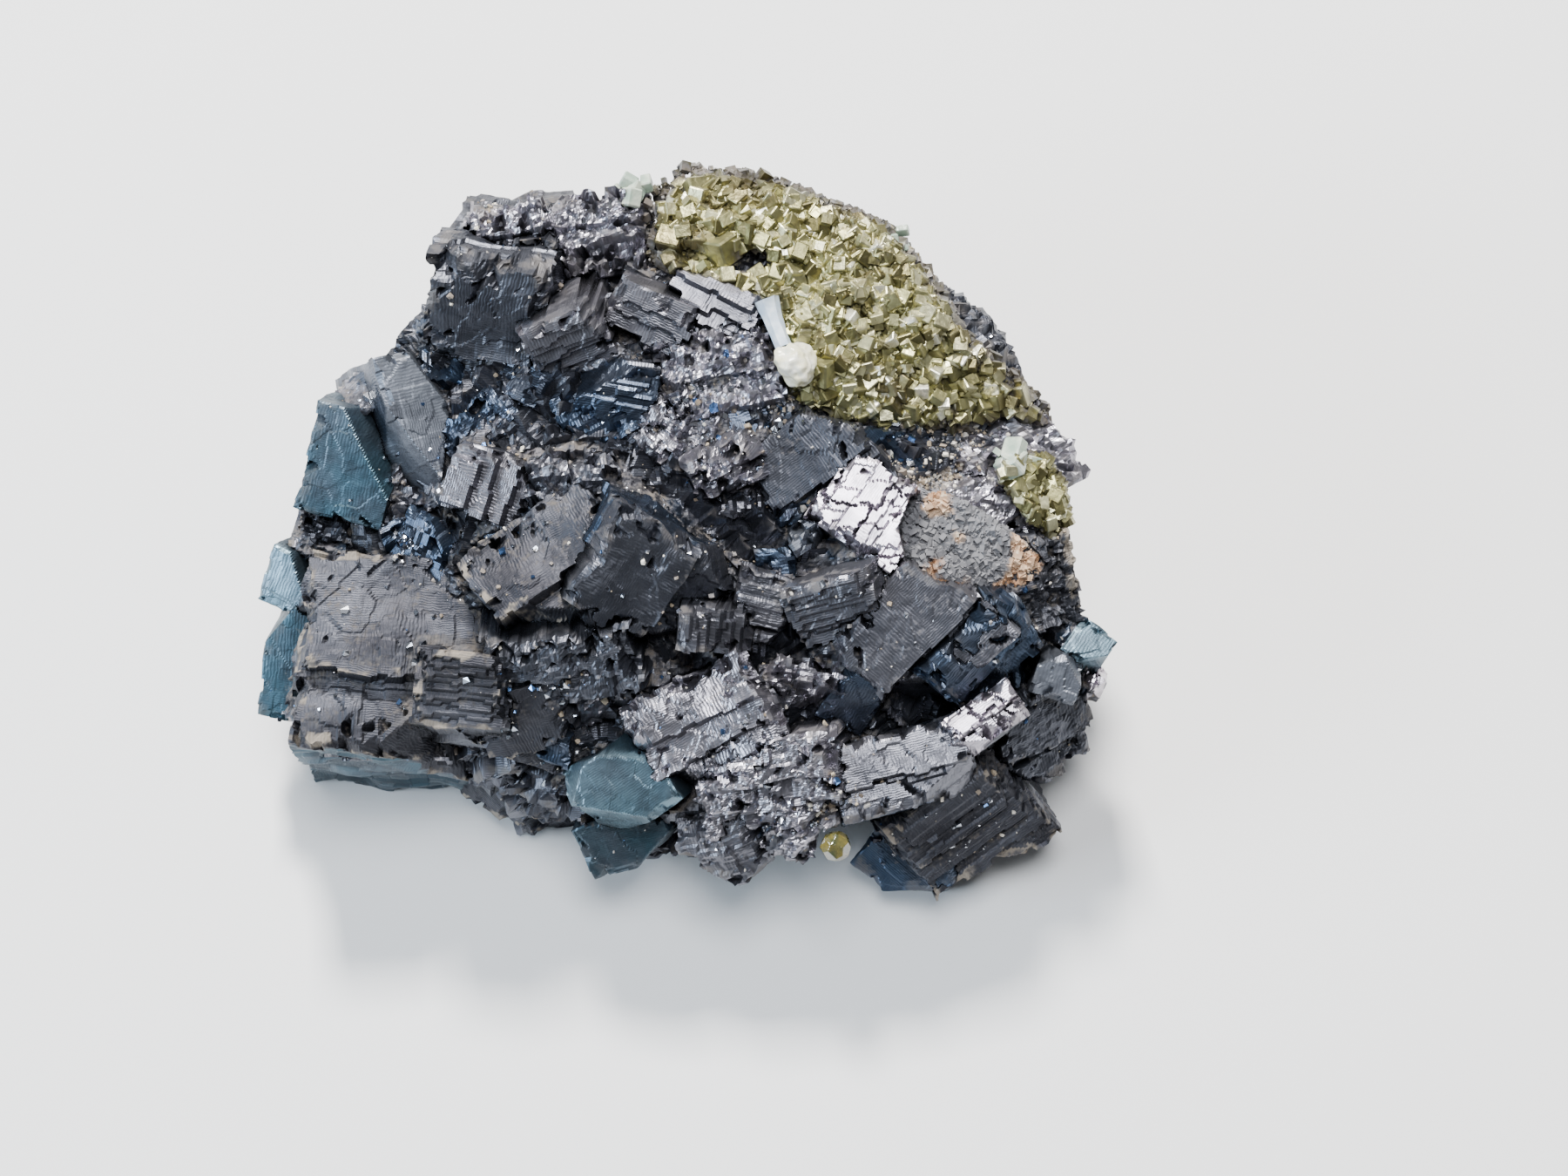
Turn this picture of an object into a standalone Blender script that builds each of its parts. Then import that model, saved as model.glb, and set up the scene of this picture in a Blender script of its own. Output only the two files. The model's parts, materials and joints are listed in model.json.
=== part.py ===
"""Galena with pyrite: a hand specimen of intergrown galena blocks with a crust of small pyrite crystals.

The specimen rests on a broken base at z = 0, with +Z up. The blocks are described as someone sees them who
looks down on the stone from the front: across to the right, up the view, and near, towards the eye. All
these measures are millimetres; seen() and view_frame() turn them into the stone's own frame, and every mesh
is written in metres.
"""

import math
import random
from typing import NamedTuple

import bmesh
import bpy
from mathutils import Matrix, Vector

MM = 0.001

# The view that the blocks are described in
VIEW_ELEVATION = math.radians(70.0)
VIEW_DISTANCE = 170.0
VIEW_AXIS_ACROSS = 5.5
VIEW_AXIS_UP = -2.6
MIDDLE = Vector((0.35, -2.3, 17.5))
RIGHT = Vector((1.0, 0.0, 0.0))
UPWARD = Vector((0.0, math.sin(VIEW_ELEVATION), math.cos(VIEW_ELEVATION)))
TOWARDS = Vector((0.0, -math.cos(VIEW_ELEVATION), math.sin(VIEW_ELEVATION)))

# The lump that the blocks stand out of, and the base that the stone rests on. The lump is a squared-off
# ellipsoid whose broad side faces the eye: its centre and radii are across, up and near.
CORE_PLACE = (0.5, 0.8, -10.0)
CORE_RADII = (20.3, 17.3, 9.4)
CORE_SQUARENESS = 2.6
CORE_ROUGHNESS = 0.03
BASE_SIZE = (27.0, 21.0, 9.0)
BASE_CENTRE = Vector((0.4, -1.3, 3.0))
BASE_TURN = math.radians(14.0)
FLOOR_CUTTER_SIDE = 90.0

LEDGE_STEP = 0.55
LEDGE_INSET = 0.07
CORNER_CUT = (0.18, 0.42)
SEED = 4711

# Small blocks that fill the gaps between the large ones, strewn over the lump in a sunflower's pattern
FILLER_COUNT = 60
FILLER_SPREAD = (19.4, 16.4)
FILLER_SIZE = (3.0, 5.6)
FILLER_THICK = 6.0
FILLER_LEAN = 34.0
GOLDEN_ANGLE = math.pi * (3.0 - math.sqrt(5.0))

# Steps that fill the range from 0 to 1 evenly, however many are taken
EVEN_STEPS = (0.618034, 0.754878, 0.569840)

# A piece that lies on another keeps this gap to it
GAP = 0.3

# How far a crust's rim steps in and out, and how far each step stays from its ends
RIM_REACH = 0.3
RIM_CORNER = 0.4

# The crystals on a crust's rim are cut off this far outside its slab
TRIM = 0.06


class Block(NamedTuple):
    """One galena block: where its front face is, its size, its turn in the view and the way its face leans."""

    name: str
    across: float
    up: float
    near: float
    width: float
    depth: float
    thick: float
    spin: float
    toward: float
    lean: float
    ledges: int = 0


BLOCKS = (
    # The dark shoulder and the ridge behind it, upper left
    Block("west_shoulder", -11.2, 11.6, -1.5, 7.0, 9.4, 9.0, -8, 250, 28, 1),
    Block("back_ridge", -7.3, 17.0, -2.5, 11.0, 5.0, 10.0, 9, 95, 18, 2),
    Block("back_ridge_step", -9.5, 15.2, -2.2, 6.0, 4.0, 9.0, 12, 265, 22, 1),
    # The ledged blocks in the middle of the upper half
    Block("ledge_stack", -6.5, 11.4, -1.2, 5.2, 4.8, 8.0, 23, 262, 24, 5),
    Block("ledge_stack_east", -2.0, 12.4, -0.9, 5.2, 4.2, 8.0, -24, 240, 12, 3),
    Block("striated_cube", -3.9, 8.2, -0.4, 4.8, 3.4, 7.0, -10, 262, 22, 4),
    Block("east_ledge", 1.5, 13.0, -0.9, 6.2, 4.2, 8.0, -27, 80, 8, 3),
    Block("crumbly_middle", 1.6, 8.6, -0.6, 8.4, 6.8, 8.0, 15, 120, 8, 2),
    Block("crumbly_lump", 2.4, 3.8, 0.5, 4.4, 4.2, 7.0, 25, 230, 14, 2),
    Block("crumbly_facet", -0.8, 6.0, -0.2, 4.2, 4.4, 7.0, 58, 170, 14, 1),
    # The left-hand crystals
    Block("west_round_crystal", -19.0, 4.2, -2.8, 5.2, 6.6, 8.0, -16, 225, 20, 0),
    Block("west_plate", -14.8, 6.6, -1.4, 8.6, 3.6, 9.0, -74, 10, 22, 0),
    Block("west_saddle", -11.0, 6.2, -2.0, 5.6, 4.4, 8.0, 35, 150, 10, 1),
    Block("frame_block", -11.0, 3.0, -0.4, 4.2, 4.8, 8.0, 72, 200, 12, 3),
    Block("pitted_block", -6.3, 3.2, 0.4, 5.6, 4.2, 8.0, 5, 100, 12, 2),
    # The large block of the lower left, its stair and the round tips beside it
    Block("south_west_block", -15.6, -6.2, -1.6, 12.4, 11.6, 15.0, -4, 78, 13, 1),
    Block("stair_block", -12.6, -8.6, 0.3, 5.6, 5.0, 9.0, -6, 90, 8, 5),
    Block("south_west_slope", -8.9, -10.6, -1.4, 6.4, 7.0, 11.0, 20, 272, 32, 1),
    Block("west_tip", -22.5, -2.2, -5.2, 2.8, 3.6, 8.0, -25, 205, 20, 0),
    Block("west_foot", -21.7, -6.8, -5.6, 4.6, 7.0, 9.0, -8, 210, 16, 0),
    # The summit
    Block("summit_west_face", -7.4, -1.4, 2.0, 9.4, 7.8, 12.0, 34, 128, 22, 1),
    Block("summit_east_face", -1.7, -2.6, 2.4, 7.0, 9.0, 12.0, 62, 304, 24, 1),
    Block("summit_south_face", -6.8, -7.4, 0.3, 9.6, 6.8, 11.0, 8, 262, 34, 2),
    Block("ladder_block", 1.7, -4.6, 0.9, 3.0, 4.2, 8.0, 84, 250, 14, 5),
    Block("ladder_east", 4.2, -4.0, 0.3, 3.6, 5.0, 8.0, -14, 300, 10, 1),
    # The flat cleavages right of the middle
    Block("east_dark_face", 7.2, 3.9, 0.0, 7.2, 6.6, 8.0, 36, 195, 12, 1),
    Block("mirror_face", 10.5, 1.8, 0.5, 5.0, 6.2, 7.0, 56, 90, 10, 3),
    Block("mirror_tab", 6.7, 0.5, 0.1, 2.2, 1.8, 5.0, 30, 100, 6, 0),
    Block("keel_face", 13.2, -5.4, 1.0, 8.2, 7.4, 9.0, 46, 250, 12, 1),
    Block("keel_stair", 8.5, -3.6, 0.5, 6.0, 4.4, 8.0, 16, 228, 15, 4),
    Block("keel_tip", 9.8, -8.6, -0.2, 3.0, 5.2, 8.0, -28, 268, 36, 0),
    Block("keel_slope", 17.0, -6.6, -0.9, 6.8, 7.2, 9.0, 50, 302, 36, 2),
    Block("east_gritty", 19.4, -3.2, -2.4, 6.2, 8.4, 10.0, 12, 350, 16, 2),
    Block("earthy_bed", 16.2, 0.9, -1.5, 9.0, 7.6, 8.0, -12, 20, 10, 0),
    # The blocks that the pyrite crust grew on
    Block("crust_bed_back", 5.6, 15.6, -1.8, 13.0, 8.4, 12.0, -18, 78, 12, 0),
    Block("crust_bed_east", 12.0, 10.4, -2.2, 9.0, 8.0, 12.0, -42, 42, 16, 0),
    Block("crust_bed_rim", 18.3, 5.0, -3.0, 6.6, 8.0, 11.0, -62, 18, 24, 0),
    # The right-hand rim
    Block("south_east_mirror", 16.7, -9.9, -0.5, 5.0, 2.6, 6.0, 36, 90, 10, 3),
    Block("east_cube", 21.0, -7.6, -1.2, 2.7, 2.7, 6.0, -18, 260, 8, 0),
    Block("east_rim_cube", 22.7, -5.8, -2.2, 2.4, 2.4, 6.0, -36, 60, 14, 0),
    Block("east_rim_glint", 23.1, -7.4, -3.4, 1.4, 1.8, 5.0, -20, 90, 10, 0),
    Block("east_overhang", 20.0, -10.8, -5.2, 6.4, 7.2, 9.0, 20, 318, 36, 1),
    Block("south_east_foot", 15.6, -16.0, -6.2, 8.8, 8.6, 11.0, 38, 292, 24, 4),
    Block("south_east_toe", 12.6, -18.0, -7.2, 5.6, 5.4, 8.0, -38, 222, 30, 0),
    # The silvery lobes at the front
    Block("front_lobe_west", 1.0, -10.4, 0.2, 8.4, 6.8, 9.0, 27, 170, 10, 2),
    Block("front_arch", 6.8, -7.9, 0.0, 5.4, 2.8, 7.0, -12, 60, 10, 1),
    Block("front_middle", 4.8, -13.6, -0.5, 8.8, 6.0, 9.0, 8, 225, 12, 2),
    Block("front_plates", 12.2, -12.7, -0.5, 8.2, 4.6, 8.0, 14, 95, 6, 3),
    Block("front_toe", 1.9, -17.4, -2.2, 4.8, 5.4, 8.0, 20, 245, 26, 0),
    Block("front_toe_east", 5.6, -16.8, -1.8, 3.4, 3.2, 7.0, -15, 260, 20, 0),
    Block("south_pale_cube", -3.8, -14.0, -0.4, 5.8, 5.0, 7.0, 34, 232, 12, 0),
    Block("south_pale_foot", -3.4, -16.8, -4.6, 5.6, 3.4, 7.0, 20, 265, 24, 0),
)


class Crust(NamedTuple):
    """A crust that grew on the galena: its outline in the view, the bed it lies on, and its crystals.

    The bed is a low dome: near = crown - fall_across * (across - a)^2 - fall_up * (up - u)^2 about (a, u).
    """

    name: str
    outline: tuple
    crown: float
    crown_place: tuple
    fall: tuple
    depth: float
    thickness: float
    grains: int
    rim_step: float
    grain_size: tuple
    large_grains: tuple
    squash: float


PYRITE_CRUST = Crust(
    name="pyrite_crust",
    outline=(
        (-2.0, 19.0), (0.2, 20.9), (4.6, 20.2), (8.5, 18.7), (10.9, 17.8), (13.4, 15.0), (15.8, 11.4),
        (19.0, 8.8), (20.6, 6.2), (18.5, 6.9), (16.3, 6.0), (13.4, 6.0), (10.7, 6.3), (7.5, 7.1),
        (5.7, 8.4), (5.4, 10.9), (4.6, 13.6), (1.6, 14.8), (-1.8, 15.6),
    ),
    crown=-1.1,
    crown_place=(4.0, 12.0),
    fall=(0.012, 0.024),
    depth=1.0,
    thickness=0.8,
    grains=48,
    rim_step=2.6,
    grain_size=(1.2, 2.3),
    large_grains=(
        (3.7, 17.4, 2.6), (15.5, 8.3, 2.1), (6.9, 17.0, 2.0), (12.2, 14.6, 2.1), (18.6, 8.2, 1.7),
        (11.6, 7.6, 2.3), (8.5, 18.0, 1.9), (-0.8, 16.9, 2.1), (9.4, 12.2, 2.2), (0.6, 19.6, 1.9),
        (11.2, 10.2, 2.4), (13.6, 9.8, 2.2), (7.4, 14.6, 2.5), (14.8, 12.2, 2.0), (10.4, 15.4, 2.3),
        (7.6, 9.6, 2.1), (17.0, 7.4, 1.9), (5.8, 19.0, 2.1), (12.6, 12.4, 2.1), (2.0, 16.4, 2.2),
    ),
    squash=0.95,
)
PYRITE_SIDE_PATCH = Crust(
    name="pyrite_side_patch",
    outline=(
        (17.3, 3.8), (18.4, 4.9), (20.1, 4.8), (21.3, 3.0), (21.5, 0.9), (20.5, 0.1), (19.5, 1.1), (18.5, 2.4),
    ),
    crown=-1.7,
    crown_place=(17.5, 3.0),
    fall=(0.11, 0.02),
    depth=0.9,
    thickness=0.7,
    grains=8,
    rim_step=2.2,
    grain_size=(0.9, 1.6),
    large_grains=((18.2, 3.8, 1.9), (20.2, 2.4, 1.7)),
    squash=0.95,
)
LIMONITE_PATCH = Crust(
    name="limonite_patch",
    outline=(
        (12.6, 2.6), (14.2, 3.0), (15.8, 2.2), (17.6, 1.0), (19.2, 0.0), (20.3, -1.3), (19.0, -2.6),
        (16.6, -2.5), (14.2, -2.3), (12.3, -1.0), (11.9, 0.8),
    ),
    crown=-0.9,
    crown_place=(15.0, 0.0),
    fall=(0.03, 0.02),
    depth=0.8,
    thickness=0.5,
    grains=9,
    rim_step=2.6,
    grain_size=(1.2, 2.1),
    large_grains=(),
    squash=0.55,
)

# A pale quartz rod that lies between the galena and the pyrite, with a milky knob at its lower end
ROD_ENDS = ((4.5, 13.6, 0.4), (5.5, 10.9, 0.5))
ROD_RADIUS = 0.6
ROD_SIDES = 6
KNOB_PLACE = (6.2, 10.0, 0.7)
KNOB_RADII = (1.1, 1.25, 0.9)

# A single honey-green sphalerite crystal under the front edge
BEAD_PLACE = (8.4, -17.2, -1.2)
BEAD_RADIUS = 0.95


class Hidden(NamedTuple):
    """A belt of blocks round the stone that the front view doesn't show."""

    count: int
    height: float
    across_radius: float
    deep_radius: float
    smallest: float
    largest: float
    first_bearing: float
    last_bearing: float


# Bearings are degrees anticlockwise from +X as seen from above
HIDDEN_BELTS = (
    Hidden(12, 5.0, 18.8, 16.6, 6.0, 9.0, -170.0, 180.0),
    Hidden(7, 11.0, 18.6, 18.0, 6.0, 8.6, 20.0, 165.0),
)


def seen(across, up, near):
    """The point, in millimetres, that shows at (across, up) in the view and lies that near to the eye."""
    shrink = (VIEW_DISTANCE - near) / VIEW_DISTANCE
    right = VIEW_AXIS_ACROSS + (across - VIEW_AXIS_ACROSS) * shrink
    rise = VIEW_AXIS_UP + (up - VIEW_AXIS_UP) * shrink
    return MIDDLE + right * RIGHT + rise * UPWARD + near * TOWARDS


def view_frame(spin, toward, lean):
    """The turn of a face that looks at the eye, spun in the view, then leaned towards a direction of the view."""
    turn, way = math.radians(spin), math.radians(toward)
    along = math.cos(turn) * RIGHT + math.sin(turn) * UPWARD
    over = TOWARDS.cross(along)
    frame = Matrix((along, over, TOWARDS)).transposed()
    downhill = math.cos(way) * RIGHT + math.sin(way) * UPWARD
    return Matrix.Rotation(math.radians(lean), 3, TOWARDS.cross(downhill)) @ frame


def add_box(mesh, centre, size, frame, corners=()):
    """Adds a box to a bmesh. Each corner is (sign x, sign y, share): that top corner is cut off at that share."""
    made = bmesh.ops.create_cube(mesh, size=1.0)["verts"]
    geometry = set(made)
    for vert in made:
        geometry.update(vert.link_edges)
        geometry.update(vert.link_faces)
    for sign_x, sign_y, share in corners:
        outward = Vector((sign_x, sign_y, 1.0)).normalized()
        corner = Vector((sign_x, sign_y, 1.0)) * 0.5
        cut = bmesh.ops.bisect_plane(
            mesh, geom=list(geometry), plane_co=corner - outward * share, plane_no=outward, clear_outer=True
        )
        geometry = {item for item in geometry if item.is_valid}
        geometry.update(cut["geom"])
        rim = [item for item in cut["geom_cut"] if isinstance(item, bmesh.types.BMEdge)]
        filled = bmesh.ops.contextual_create(mesh, geom=rim)["faces"]
        geometry.update(filled)
    corners_of_box = [item for item in geometry if isinstance(item, bmesh.types.BMVert) and item.is_valid]
    for vert in corners_of_box:
        vert.co = (frame @ Vector((vert.co.x * size[0], vert.co.y * size[1], vert.co.z * size[2])) + centre) * MM


def new_object(name, mesh, colour=None, roughness=0.5, metallic=0.0):
    """An object from a bmesh, with its own Principled BSDF if a colour is given."""
    bmesh.ops.recalc_face_normals(mesh, faces=mesh.faces)
    # On pieces as small as a grain, the line above can turn all the faces inwards
    if mesh.calc_volume(signed=True) < 0:
        bmesh.ops.reverse_faces(mesh, faces=mesh.faces)
    data = bpy.data.meshes.new(name)
    mesh.to_mesh(data)
    mesh.free()
    made = bpy.data.objects.new(name, data)
    bpy.context.scene.collection.objects.link(made)
    if colour:
        finish = bpy.data.materials.new(name)
        finish.use_nodes = True
        shader = finish.node_tree.nodes["Principled BSDF"]
        shader.inputs["Base Color"].default_value = (*colour, 1.0)
        shader.inputs["Roughness"].default_value = roughness
        shader.inputs["Metallic"].default_value = metallic
        data.materials.append(finish)
    return made


def even(number, which=0):
    """A share from 0 to 1 for a numbered piece: evenly spread, and the same on every run."""
    return (number * EVEN_STEPS[which]) % 1.0


def cut_corners(number, count):
    """Which of a numbered block's four front corners are broken off, and how much of each."""
    signs = ((-1, -1), (1, -1), (1, 1), (-1, 1))
    first = int(4 * even(number, 1))
    low, high = CORNER_CUT
    return [
        (*signs[(first + step) % 4], low + (high - low) * even(7 * number + 3 * step, 2)) for step in range(count)
    ]


def block_pieces(number, block):
    """One bmesh for the block and one for each of its ledges, which step back across the block's front face."""
    frame = view_frame(block.spin, block.toward, block.lean)
    face = seen(block.across, block.up, block.near)
    body = bmesh.new()
    size = (block.width, block.depth, block.thick)
    corners = cut_corners(number, 1 + int(3 * even(number)))
    add_box(body, face - frame @ Vector((0.0, 0.0, block.thick / 2)), size, frame, corners)
    pieces = [body]
    for step in range(block.ledges):
        share = 1.0 - (step + 1) / (block.ledges + 1.6)
        width = block.width * (0.93 - LEDGE_INSET * step)
        depth = block.depth * share
        rise = LEDGE_STEP * (step + 1)
        shift = Vector((0.6 * even(number + step, 1) - 0.3, (block.depth - depth) * 0.46, rise / 2 - 0.4))
        ledge = bmesh.new()
        add_box(ledge, face + frame @ shift, (width, depth, rise + 0.8), frame)
        pieces.append(ledge)
    return pieces


def hidden_pieces(belt):
    """A belt of cut-cornered blocks round the stone, each with its front face looking outwards."""
    pieces = []
    for place in range(belt.count):
        share = (place + 0.2 + 0.6 * even(place)) / belt.count
        bearing = math.radians(belt.first_bearing + share * (belt.last_bearing - belt.first_bearing))
        outward = Vector((math.cos(bearing), math.sin(bearing), 0.45 * even(place, 1) - 0.1)).normalized()
        centre = Vector((belt.across_radius * math.cos(bearing), belt.deep_radius * math.sin(bearing), 0.0))
        centre.z = belt.height + 2.0 * even(place, 2) - 1.0
        size = tuple(belt.smallest + (belt.largest - belt.smallest) * even(3 * place + 1, axis) for axis in range(3))
        turn = outward.to_track_quat("Z", "Y").to_matrix() @ Matrix.Rotation(math.tau * even(place + 5), 3, "Z")
        piece = bmesh.new()
        add_box(piece, centre - outward * size[2] * 0.5, size, turn, cut_corners(place, 2))
        pieces.append(piece)
    return pieces


def filler_pieces():
    """The small blocks between the large ones: each stands on the lump and leans a little more towards the rim."""
    pieces = []
    for place in range(FILLER_COUNT):
        share = math.sqrt((place + 0.5) / FILLER_COUNT)
        bearing = place * GOLDEN_ANGLE
        pick = even(place)
        other = even(place, 1)
        across = CORE_PLACE[0] + FILLER_SPREAD[0] * share * math.cos(bearing)
        up = CORE_PLACE[1] + FILLER_SPREAD[1] * share * math.sin(bearing)
        near = core_near(across, up) + 0.9 * other
        lean = FILLER_LEAN * share**2 + 12.0 * pick
        frame = view_frame(360.0 * other, math.degrees(bearing), lean)
        width = FILLER_SIZE[0] + (FILLER_SIZE[1] - FILLER_SIZE[0]) * pick
        size = (width, width * (0.6 + 0.4 * other), FILLER_THICK)
        piece = bmesh.new()
        corner = (1 if pick > 0.5 else -1, 1 if other > 0.5 else -1, 0.2 + 0.2 * pick)
        add_box(piece, seen(across, up, near) - frame @ Vector((0.0, 0.0, FILLER_THICK / 2)), size, frame, [corner])
        pieces.append(piece)
    return pieces


def core_near(across, up):
    """How near to the eye the lump's own surface is at a place in the view."""
    shares = abs((across - CORE_PLACE[0]) / CORE_RADII[0]) ** CORE_SQUARENESS
    shares += abs((up - CORE_PLACE[1]) / CORE_RADII[1]) ** CORE_SQUARENESS
    return CORE_PLACE[2] + CORE_RADII[2] * max(0.0, 1.0 - shares) ** (1.0 / CORE_SQUARENESS)


def core_piece():
    """The lump in the middle: a ball of flat faces, squared off, stretched and made uneven."""
    dice = random.Random(SEED)
    core = bmesh.new()
    bmesh.ops.create_icosphere(core, subdivisions=3, radius=1.0)
    across, up, near = CORE_PLACE
    centre = MIDDLE + across * RIGHT + up * UPWARD + near * TOWARDS
    for vert in core.verts:
        reach = sum(abs(part) ** CORE_SQUARENESS for part in vert.co) ** (-1.0 / CORE_SQUARENESS)
        reach *= 1.0 + dice.uniform(-CORE_ROUGHNESS, CORE_ROUGHNESS)
        right, rise, out = (part * reach * radius for part, radius in zip(vert.co, CORE_RADII))
        vert.co = (centre + right * RIGHT + rise * UPWARD + out * TOWARDS) * MM
    return core


def combine(target, pieces, operation):
    """Joins the pieces to the target (UNION), or cuts all of them out of it (DIFFERENCE), in one Boolean."""
    helpers = bpy.data.collections.new(target.name + "_pieces")
    for number, piece in enumerate(pieces):
        helper = new_object(f"{target.name}_helper_{number}", piece)
        bpy.context.scene.collection.objects.unlink(helper)
        helpers.objects.link(helper)
    bpy.context.scene.collection.children.link(helpers)
    boolean = target.modifiers.new("boolean", "BOOLEAN")
    boolean.operation = operation
    boolean.operand_type = "COLLECTION"
    boolean.collection = helpers
    # EXACT left open edges where so many slanted blocks cross each other
    boolean.solver = "MANIFOLD"
    apply_modifiers(target)
    for helper in list(helpers.objects):
        bpy.data.objects.remove(helper)
    bpy.data.collections.remove(helpers)


def apply_modifiers(target):
    """Replaces the target's mesh by what its modifiers make of it."""
    bpy.context.view_layer.update()
    graph = bpy.context.evaluated_depsgraph_get()
    baked = bpy.data.meshes.new_from_object(target.evaluated_get(graph))
    target.modifiers.clear()
    target.data = baked


def keep_outer_skin(target):
    """Keeps the largest skin alone: no hollow is sealed in between the blocks, and no chip hangs free."""
    mesh = bmesh.new()
    mesh.from_mesh(target.data)
    waiting = set(mesh.faces)
    skins = []
    while waiting:
        skin = set()
        edge_of_search = [waiting.pop()]
        while edge_of_search:
            face = edge_of_search.pop()
            skin.add(face)
            for edge in face.edges:
                for other in edge.link_faces:
                    if other in waiting:
                        waiting.discard(other)
                        edge_of_search.append(other)
        skins.append(skin)
    outer = max(skins, key=len)
    inner = [face for skin in skins if skin is not outer for face in skin]
    bmesh.ops.delete(mesh, geom=inner, context="FACES")
    mesh.to_mesh(target.data)
    mesh.free()


def bed_near(crust, across, up):
    """How near to the eye the crust's bed is at a place in the view."""
    return (
        crust.crown
        - crust.fall[0] * (across - crust.crown_place[0]) ** 2
        - crust.fall[1] * (up - crust.crown_place[1]) ** 2
    )


def rim_outline(crust, grow):
    """The crust's clockwise outline, stepped in and out as a crust of cubes ends, and moved outwards by grow."""
    corners = []
    for (x0, y0), (x1, y1) in zip(crust.outline, crust.outline[1:] + crust.outline[:1]):
        length = math.hypot(x1 - x0, y1 - y0)
        along = ((x1 - x0) / length, (y1 - y0) / length)
        steps = max(1, round(length / crust.rim_step))
        clear = min(RIM_CORNER, 0.3 * length / steps)
        for number in range(steps):
            out = grow + RIM_REACH * math.sin(2.4 * len(corners))
            for place in (length * number / steps + clear, length * (number + 1) / steps - clear):
                corners.append((x0 + along[0] * place - along[1] * out, y0 + along[1] * place + along[0] * out))
    return corners


def slab_piece(crust, bottom, top, grow=0.0):
    """The crust's slab between two heights over its bed, its outline grown if it is to cut a pocket."""
    slab = bmesh.new()
    corners = [slab.verts.new((across, up, 0.0)) for across, up in rim_outline(crust, grow)]
    slab.faces.new(corners)
    bmesh.ops.triangulate(slab, faces=slab.faces[:])
    # Places halfway along the inner edges let the slab follow the dome of its bed
    inner = [edge for edge in slab.edges if not edge.is_boundary]
    bmesh.ops.subdivide_edges(slab, edges=inner, cuts=1)
    bmesh.ops.triangulate(slab, faces=slab.faces[:])
    raised = bmesh.ops.extrude_face_region(slab, geom=slab.faces[:])["geom"]
    upper = {item for item in raised if isinstance(item, bmesh.types.BMVert)}
    for vert in slab.verts:
        level = top if vert in upper else bottom
        vert.co = seen(vert.co.x, vert.co.y, bed_near(crust, vert.co.x, vert.co.y) + level) * MM
    return slab


def inside(outline, across, up, margin):
    """Whether a place lies within the outline, at least that far from each of its sides."""
    crossings = 0
    for (x0, y0), (x1, y1) in zip(outline, outline[1:] + outline[:1]):
        if (y0 > up) != (y1 > up) and across < x0 + (up - y0) / (y1 - y0) * (x1 - x0):
            crossings += 1
        side = Vector((x1 - x0, y1 - y0))
        share = max(0.0, min(1.0, (Vector((across - x0, up - y0)).dot(side)) / side.length_squared))
        if (Vector((across, up)) - Vector((x0, y0)) - side * share).length < margin:
            return False
    return crossings % 2 == 1


def grain_places(crust):
    """(across, up, size, turn) of each crystal: large ones by hand, a row on the rim, the rest spread evenly."""
    places = [(across, up, size, 0.37 * number) for number, (across, up, size) in enumerate(crust.large_grains)]
    for (x0, y0), (x1, y1) in zip(crust.outline, crust.outline[1:] + crust.outline[:1]):
        steps = max(1, round(math.hypot(x1 - x0, y1 - y0) / crust.rim_step))
        for step in range(steps):
            share = (step + 0.5) / steps
            size = crust.grain_size[0] + 0.25 * (crust.grain_size[1] - crust.grain_size[0]) * (step % 3)
            places.append((x0 + (x1 - x0) * share, y0 + (y1 - y0) * share, size, 1.9 * len(places)))
    lowest = [min(corner[axis] for corner in crust.outline) for axis in (0, 1)]
    widest = [max(corner[axis] for corner in crust.outline) - lowest[axis] for axis in (0, 1)]
    for number in range(1, crust.grains + 1):
        across, up = (lowest[axis] + widest[axis] * even(number, axis + 1) for axis in (0, 1))
        share = even(number)
        size = crust.grain_size[0] + (crust.grain_size[1] - crust.grain_size[0]) * share**2
        near_large = any(math.hypot(across - a, up - u) < 0.45 * (big + size) for a, u, big in crust.large_grains)
        if inside(crust.outline, across, up, 0.3 * size) and not near_large:
            places.append((across, up, size, math.tau * share))
    return places


def grain_piece(crust, place):
    """One crystal of a crust, half sunk in its slab: a pyrite cube, or a flatter lump of earthy limonite."""
    across, up, size, turn = place
    centre = seen(across, up, bed_near(crust, across, up) + crust.thickness + 0.1 * size * crust.squash)
    piece = bmesh.new()
    # A crystal that leans no more than this covers no hollow
    lean = crust.squash * (5.0 + 20.0 * ((7.3 * turn) % 1.0))
    frame = view_frame(math.degrees(turn), math.degrees(2.7 * turn), lean)
    add_box(piece, centre, (size, size, size * crust.squash), frame)
    return piece


def make_crust(crust, colour, roughness, metallic):
    """The crust's solid, trimmed to its own outline, and the piece that cuts its pocket with a gap all round."""
    made = new_object(crust.name, slab_piece(crust, -crust.depth, crust.thickness), colour, roughness, metallic)
    combine(made, [grain_piece(crust, place) for place in grain_places(crust)], "UNION")
    combine(made, [slab_piece(crust, -crust.depth - 1.0, crust.thickness + 4.0, grow=TRIM)], "INTERSECT")
    keep_outer_skin(made)
    return made, slab_piece(crust, -crust.depth - GAP, FLOOR_CUTTER_SIDE / 3, grow=TRIM + GAP)


def rod_piece(grow=0.0):
    """The quartz rod: a six-sided prism between its two ends."""
    first, last = (seen(*end) for end in ROD_ENDS)
    axis = last - first
    rod = bmesh.new()
    bmesh.ops.create_cone(
        rod,
        cap_ends=True,
        segments=ROD_SIDES,
        radius1=ROD_RADIUS + grow,
        radius2=ROD_RADIUS * 0.9 + grow,
        depth=axis.length + 2 * grow,
    )
    turn = axis.to_track_quat("Z", "Y").to_matrix()
    for vert in rod.verts:
        vert.co = (turn @ vert.co + (first + last) / 2) * MM
    return rod


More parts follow.
